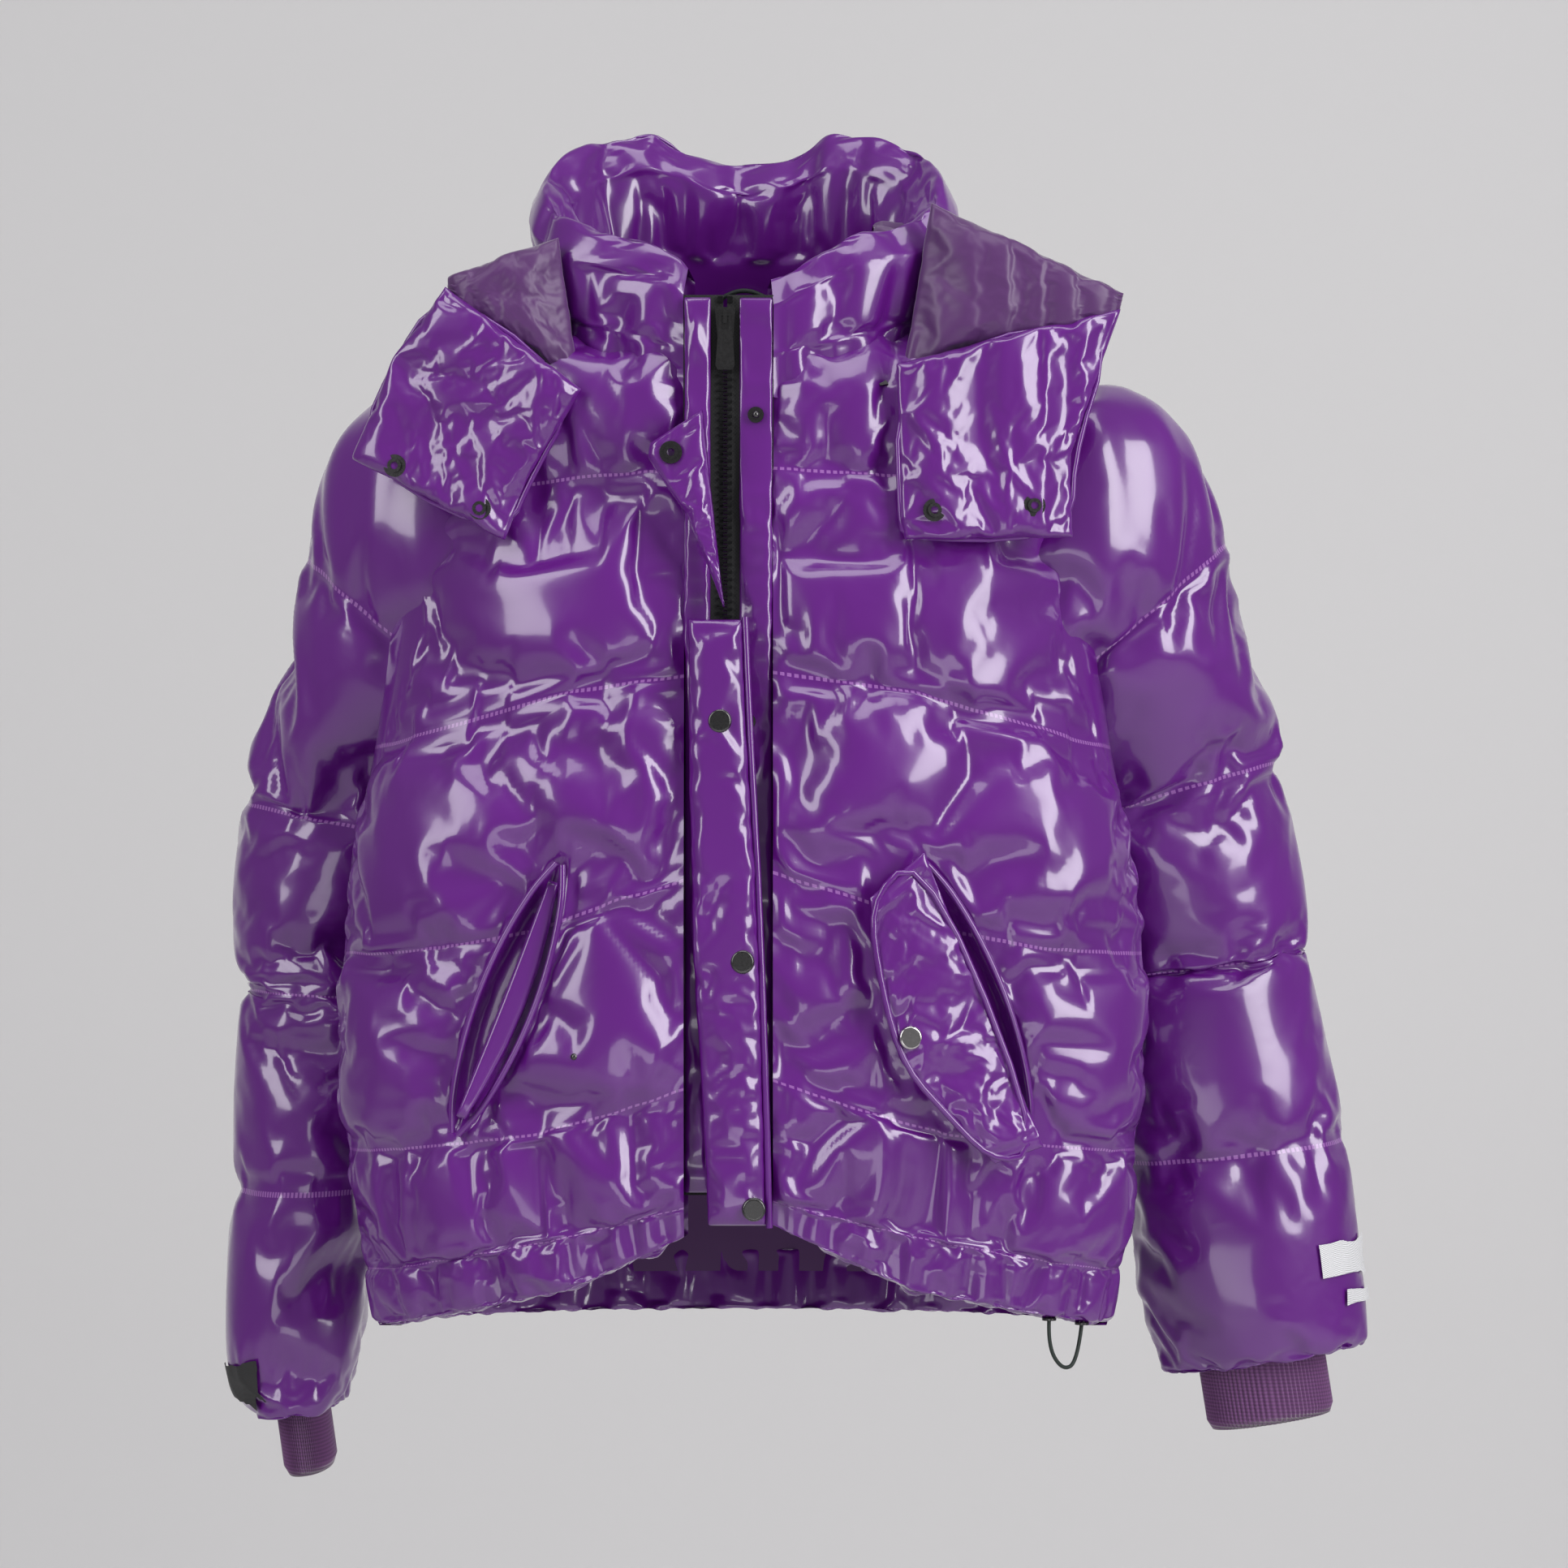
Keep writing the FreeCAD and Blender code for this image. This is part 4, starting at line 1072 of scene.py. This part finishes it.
class JACKET_OT_collar(bpy.types.Operator):
    """Padded stand collar, rolled over to its lining"""
    bl_idname = "jacket.collar"
    bl_label = "Collar"

    def execute(self, context):
        shell = context.scene.jacket_shell

        def place(u, v):
            i, k = pick_level(len(COLLAR_TRACK), v)
            share, out = (mix(p, q, k) for p, q in zip(COLLAR_TRACK[i], COLLAR_TRACK[i + 1]))
            wide = mix(COLLAR_BASE[2], COLLAR_TOP[2], share)
            start = -math.acos((FRONT_LEFT_EDGE / wide) ** (POWER / 2))
            end = math.pi + math.acos((-FRONT_RIGHT_EDGE / wide) ** (POWER / 2))
            p = collar_point(mix(start, end, u), share, out)
            p.z += 0.020 * smoothstep(0.015, 0.065, abs(p.x)) * max(share, 0.0)
            return p

        bm = map_grid(132, 14 * (len(COLLAR_TRACK) - 1), place)
        face_outwards(bm, collar_core)
        piece = add_object("collar_roll", bm, MATERIALS["shell"])
        pins = []
        for u, v in cut_map(piece):
            place = v * (len(COLLAR_TRACK) - 1)
            held = place < 0.02 or abs(place - 1) < 0.02 or place > 5.0 or at_end(u)
            pins.append(1.0 if held else 0.0)
        blow_up(piece, pins, shell.puff * 0.8, shell.slack, 0.022)
        refine(piece)
        sew(piece, "jacket", ("collar", "collar_lining"))
        return {"FINISHED"}


def collar_core(p):
    """Nearest point of the middle line of the collar's wall."""
    angle = math.atan2((p.y - FORWARD + 0.086) / 0.104, p.x / 0.125)
    return collar_point(angle, 0.5, -0.012)


def slab(name, left, right, middle_y, thick, columns, rows, material, turn=None, bulge=6.0):
    """Closed padded slab between two edges of (x, z) points, from top to bottom.

    A low bulge rounds the whole slab, and a high one only its edges."""
    def point(face):
        def place(u, v):
            a = edge_at(left, v)
            b = edge_at(right, v)
            round_u = max(0.0, 1 - abs(2 * u - 1) ** bulge) ** 0.5
            round_v = max(0.0, 1 - abs(2 * v - 1) ** (bulge * 3)) ** 0.5
            y = middle_y - face * thick / 2 * round_u * round_v
            p = Vector((mix(a[0], b[0], u), y, mix(a[1], b[1], u)))
            return turn(p) if turn else p
        return place

    bm = map_grid(columns, rows, point(1))
    other = map_grid(columns, rows, point(-1))
    bmesh.ops.reverse_faces(other, faces=other.faces)
    mesh = bpy.data.meshes.new("part")
    other.to_mesh(mesh)
    other.free()
    bm.from_mesh(mesh)
    bpy.data.meshes.remove(mesh)
    bmesh.ops.remove_doubles(bm, verts=bm.verts, dist=1e-5)
    bmesh.ops.recalc_face_normals(bm, faces=bm.faces)
    return add_object(name, bm, material)


def edge_at(points, v):
    """Point at a share of the length of an edge."""
    lengths = [math.dist(p, q) for p, q in zip(points, points[1:])]
    rest = v * sum(lengths)
    for (p, q), length in zip(zip(points, points[1:]), lengths):
        if rest <= length:
            k = rest / length
            return (mix(p[0], q[0], k), mix(p[1], q[1], k))
        rest -= length
    return points[-1]


def rope(name, points, radius, material, body, closed=False):
    """Thin piping through a list of points, as a mesh."""
    curve = bpy.data.curves.new(name, "CURVE")
    curve.dimensions = "3D"
    curve.bevel_depth = radius
    curve.bevel_resolution = 2
    curve.resolution_u = 4
    curve.use_fill_caps = True
    spline = curve.splines.new("NURBS")
    spline.points.add(len(points) - 1)
    for point, place in zip(spline.points, points):
        point.co = (*place, 1.0)
    spline.order_u = 3
    spline.use_endpoint_u = not closed
    spline.use_cyclic_u = closed
    holder = bpy.data.objects.new(name + "_line", curve)
    bpy.context.scene.collection.objects.link(holder)
    mesh = real_mesh(holder)
    bpy.data.objects.remove(holder)
    bpy.data.curves.remove(curve)
    for face in mesh.polygons:
        face.use_smooth = True
    mesh.materials.clear()
    mesh.materials.append(material)
    piece = bpy.data.objects.new(name, mesh)
    bpy.context.scene.collection.objects.link(piece)
    sew(piece, body, ())
    return piece


def turn_about(x, y, degrees):
    """Function that turns a point about a vertical line."""
    c = math.cos(math.radians(degrees))
    s = math.sin(math.radians(degrees))

    def turn(p):
        dx, dy = p.x - x, p.y - y
        return Vector((x + dx * c - dy * s, y + dx * s + dy * c, p.z))
    return turn


def wing_turn(side):
    """Turn of a wing about its hinge line, so that it leans over the shoulder."""
    return turn_about(side * WING_AXIS[0], WING_AXIS[1] + FORWARD, side * WING_LEAN)


class JACKET_OT_wings(bpy.types.Operator):
    """Front wings of the hood, spread over the shoulders"""
    bl_idname = "jacket.wings"
    bl_label = "Hood wings"

    def execute(self, context):
        shell = context.scene.jacket_shell
        for name, side, inner, outer in WINGS:
            piece = slab("wing_" + name, inner, outer, WING_Y + FORWARD, WING_THICK, 66, 56,
                         MATERIALS["shell"], wing_turn(side))
            blow_up(piece, edge_pins(piece, 0.012), shell.puff * 0.5, shell.slack * 0.25, 0.007,
                    frames=12, stiffness=15.0, bend=1.5)
            refine(piece)
            sew(piece, "hood_wing_" + name, ("hood_wing_" + name,))
        for name, inner, outer in FACINGS:
            piece = slab("hood_facing_" + name, inner, outer, -0.160 + FORWARD, 0.026, 50, 40,
                         MATERIALS["satin"], None, 3.0)
            blow_up(piece, edge_pins(piece, 0.012), shell.puff * 0.3, shell.slack * 0.4, 0.006,
                    frames=12)
            refine(piece)
            sew(piece, "jacket", ())
        return {"FINISHED"}


class JACKET_OT_flaps(bpy.types.Operator):
    """Storm flap, its corner, zip facings, left pocket flap and the piped edges"""
    bl_idname = "jacket.flaps"
    bl_label = "Flaps and facings"

    def execute(self, context):
        shell = context.scene.jacket_shell
        for name, body, left, right, y, thick, node, across in FLAPS:
            piece = slab(name, left, right, y + FORWARD, thick, across, 90, MATERIALS["shell"])
            blow_up(piece, edge_pins(piece, 0.02), shell.puff * 0.3, shell.slack * 0.35, 0.002)
            refine(piece)
            sew(piece, body, (node,))
        turn = turn_about(0.078, -0.2035 + FORWARD, 12.0)
        piece = slab("pocket_flap_cover", POCKET_FLAP[0], POCKET_FLAP[1], -0.2065 + FORWARD, 0.006,
                     26, 70, MATERIALS["shell"], turn)
        blow_up(piece, edge_pins(piece, 0.03), shell.puff * 0.3, shell.slack * 0.4, 0.003)
        refine(piece)
        sew(piece, "pocket_flap_left", ("pocket_flap_left",))
        self.pipings(context.scene.jacket_trim.piping, turn)
        return {"FINISHED"}

    def pipings(self, radius, turn):
        """Piped edges of the pockets, the storm flap and the hood's wings."""
        shell = MATERIALS["shell"]
        edges = [Vector((x, -0.2075 + FORWARD, z)) for x, z in
                 POCKET_FLAP[0] + POCKET_FLAP[1][::-1]]
        rope("pocket_flap_piping", [turn(p) for p in edges], radius, shell, "pocket_flap_left",
             True)
        strip = FLAPS[0]
        rope("storm_flap_piping",
             [(x + 0.0005, strip[4] + FORWARD - 0.001, z) for x, z in strip[3]], radius, shell,
             "storm_flap")
        for name, side, inner, outer in WINGS:
            swing = wing_turn(side)
            ring = [swing(Vector((x, WING_Y + FORWARD, z))) for x, z in inner + outer[::-1]]
            rope("wing_piping_" + name, ring, radius * 0.8, shell, "hood_wing_" + name, True)
        for name, side in SIDES:
            for part, sign in (("in", -1), ("out", 1)):
                points = []
                for i in range(13):
                    x, z = mouth_point(i / 12, sign * (lens(i / 12) + 0.002))
                    y = body_point(body_angle(z, x), z, 0.004).y
                    points.append((side * x, y, z))
                piece = rope("pocket_piping_%s_%s" % (name, part), points, radius, shell, "jacket")
                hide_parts("pocket_welt_" + name)


class JACKET_OT_pockets(bpy.types.Operator):
    """Satin bags of the hand pockets and the right pocket's tucked-in flap"""
    bl_idname = "jacket.pockets"
    bl_label = "Pockets"

    def execute(self, context):
        for name, side in SIDES:
            low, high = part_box("pocket_bag_" + name)
            middle = (low + high) / 2
            left, right = (((middle.x + half, high.z - 0.001), (middle.x + half, low.z + 0.001))
                           for half in (-POCKET_BAG_HALF, POCKET_BAG_HALF))
            piece = slab("pocket_cloth_" + name, left, right, middle.y, 0.024, 30, 40,
                         MATERIALS["satin"], turn_about(middle.x, middle.y, side * 13.0))
            sew(piece, "jacket", ("pocket_bag_" + name,))
        low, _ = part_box("pocket_flap_right")
        inner = [mouth_point(k, -0.012 * math.sin(math.pi * k) - 0.001) for k in FLAP_STEPS]
        outer = [mouth_point(k, 0.003) for k in FLAP_STEPS]
        piece = slab("pocket_flap_tucked", [(-x, z) for x, z in inner],
                     [(-x, z) for x, z in outer], low.y + 0.010, 0.009, 14, 60,
                     MATERIALS["shell"])
        refine(piece)
        sew(piece, "jacket", ("pocket_flap_right",))
        return {"FINISHED"}


class JACKET_OT_hood(bpy.types.Operator):
    """Satin rolls at the sides of the hood and the crown bag behind the collar"""
    bl_idname = "jacket.hood"
    bl_label = "Hood"

    def execute(self, context):
        self.crown(context)
        for name, side in SIDES:
            self.roll(context, name, side)
        return {"FINISHED"}

    def crown(self, context):
        shell = context.scene.jacket_shell

        def bag(inset):
            def place(u, v):
                z = CROWN_TOP - CROWN_DEEP * v
                half, middle, deep = between(CROWN_ROWS, z)
                cx, cy = rounded(u * 2 * math.pi)
                return Vector((cx * (half - inset), middle + cy * (deep - inset) + FORWARD, z))
            return place

        bm = map_grid(90, 60, bag(0.002), closed=True)
        face_outwards(bm, lambda p: Vector((0, CROWN_Y, p.z)))
        piece = add_object("crown", bm, MATERIALS["shell"])
        blow_up(piece, seam_pins(piece, 4), shell.puff * 0.6, shell.slack, 0.016)
        refine(piece)
        sew(piece, "hood_crown", ("hood_crown",))
        bm = map_grid(70, 40, bag(0.014), closed=True)
        face_outwards(bm, lambda p: Vector((0, CROWN_Y, p.z)), inwards=True)
        piece = add_object("crown_lining", bm, MATERIALS["satin"])
        sew(piece, "hood_crown", ("hood_lining",))

    def roll(self, context, name, side):
        shell = context.scene.jacket_shell
        low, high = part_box("hood_side_" + name)
        inner = min(abs(low.x), abs(high.x))
        outer = max(abs(low.x), abs(high.x))
        top_in, top_out = (0.032, 0.004) if side > 0 else (0.010, -0.014)

        def place(u, v):
            x = mix(inner - 0.006, outer, v)
            top = mix(top_in, top_out, v)
            base = low.z
            end = 1 - 0.55 * smoothstep(0.75, 1.0, v)
            cx, cy = rounded(u * 2 * math.pi)
            return Vector((side * x, (low.y + high.y) / 2 + cx * (high.y - low.y) / 2,
                           (top + base) / 2 + cy * (top - base) / 2 * end))

        bm = map_grid(96, 30, place, closed=True)
        face_outwards(bm, lambda p: Vector((p.x, (low.y + high.y) / 2, (low.z + high.z) / 2)))
        piece = add_object("hood_roll_" + name, bm, MATERIALS["satin"])
        blow_up(piece, seam_pins(piece, 2, ends=False), shell.puff * 0.4, shell.slack, 0.010)
        refine(piece)
        sew(piece, "jacket", ("hood_side_" + name,))


class JACKET_OT_fittings(bpy.types.Operator):
    """Finishes of the zips, snaps, eyelets, loop and hem cord"""
    bl_idname = "jacket.fittings"
    bl_label = "Fittings"

    def execute(self, context):
        for key, nodes in FITTINGS.items():
            for node in nodes:
                piece = bpy.data.objects[node]
                piece.data.materials.clear()
                piece.data.materials.append(MATERIALS[key])
        return {"FINISHED"}


STEPS = (JACKET_OT_stage, JACKET_OT_cord, JACKET_OT_fronts, JACKET_OT_back, JACKET_OT_linings,
         JACKET_OT_sleeves, JACKET_OT_marks, JACKET_OT_cuffs, JACKET_OT_collar,
         JACKET_OT_wings, JACKET_OT_flaps, JACKET_OT_pockets, JACKET_OT_hood,
         JACKET_OT_fittings)


class JACKET_PT_panel(bpy.types.Panel):
    """Steps that build the jacket, in order"""
    bl_label = "Quilted Ski Jacket"
    bl_idname = "JACKET_PT_panel"
    bl_space_type = "VIEW_3D"
    bl_region_type = "UI"
    bl_category = "Jacket"

    def draw(self, context):
        for settings in (context.scene.jacket_shell, context.scene.jacket_trim):
            for name in settings.bl_rna.properties.keys():
                if name not in ("rna_type", "name"):
                    self.layout.prop(settings, name)
        for step in STEPS:
            self.layout.operator(step.bl_idname)


CLASSES = (JacketShell, JacketTrim, JACKET_PT_panel) + STEPS


def register():
    for cls in CLASSES:
        bpy.utils.register_class(cls)
    bpy.types.Scene.jacket_shell = bpy.props.PointerProperty(type=JacketShell)
    bpy.types.Scene.jacket_trim = bpy.props.PointerProperty(type=JacketTrim)


def unregister():
    del bpy.types.Scene.jacket_trim
    del bpy.types.Scene.jacket_shell
    for cls in reversed(CLASSES):
        bpy.utils.unregister_class(cls)


def main():
    register()
    make_materials(bpy.context.scene.jacket_shell, bpy.context.scene.jacket_trim)
    bpy.ops.jacket.stage()
    bpy.ops.jacket.cord()
    bpy.ops.jacket.fronts()
    bpy.ops.jacket.back()
    bpy.ops.jacket.linings()
    bpy.ops.jacket.sleeves()
    bpy.ops.jacket.marks()
    bpy.ops.jacket.cuffs()
    bpy.ops.jacket.collar()
    bpy.ops.jacket.wings()
    bpy.ops.jacket.flaps()
    bpy.ops.jacket.pockets()
    bpy.ops.jacket.hood()
    bpy.ops.jacket.fittings()


if __name__ == "__main__":
    main()
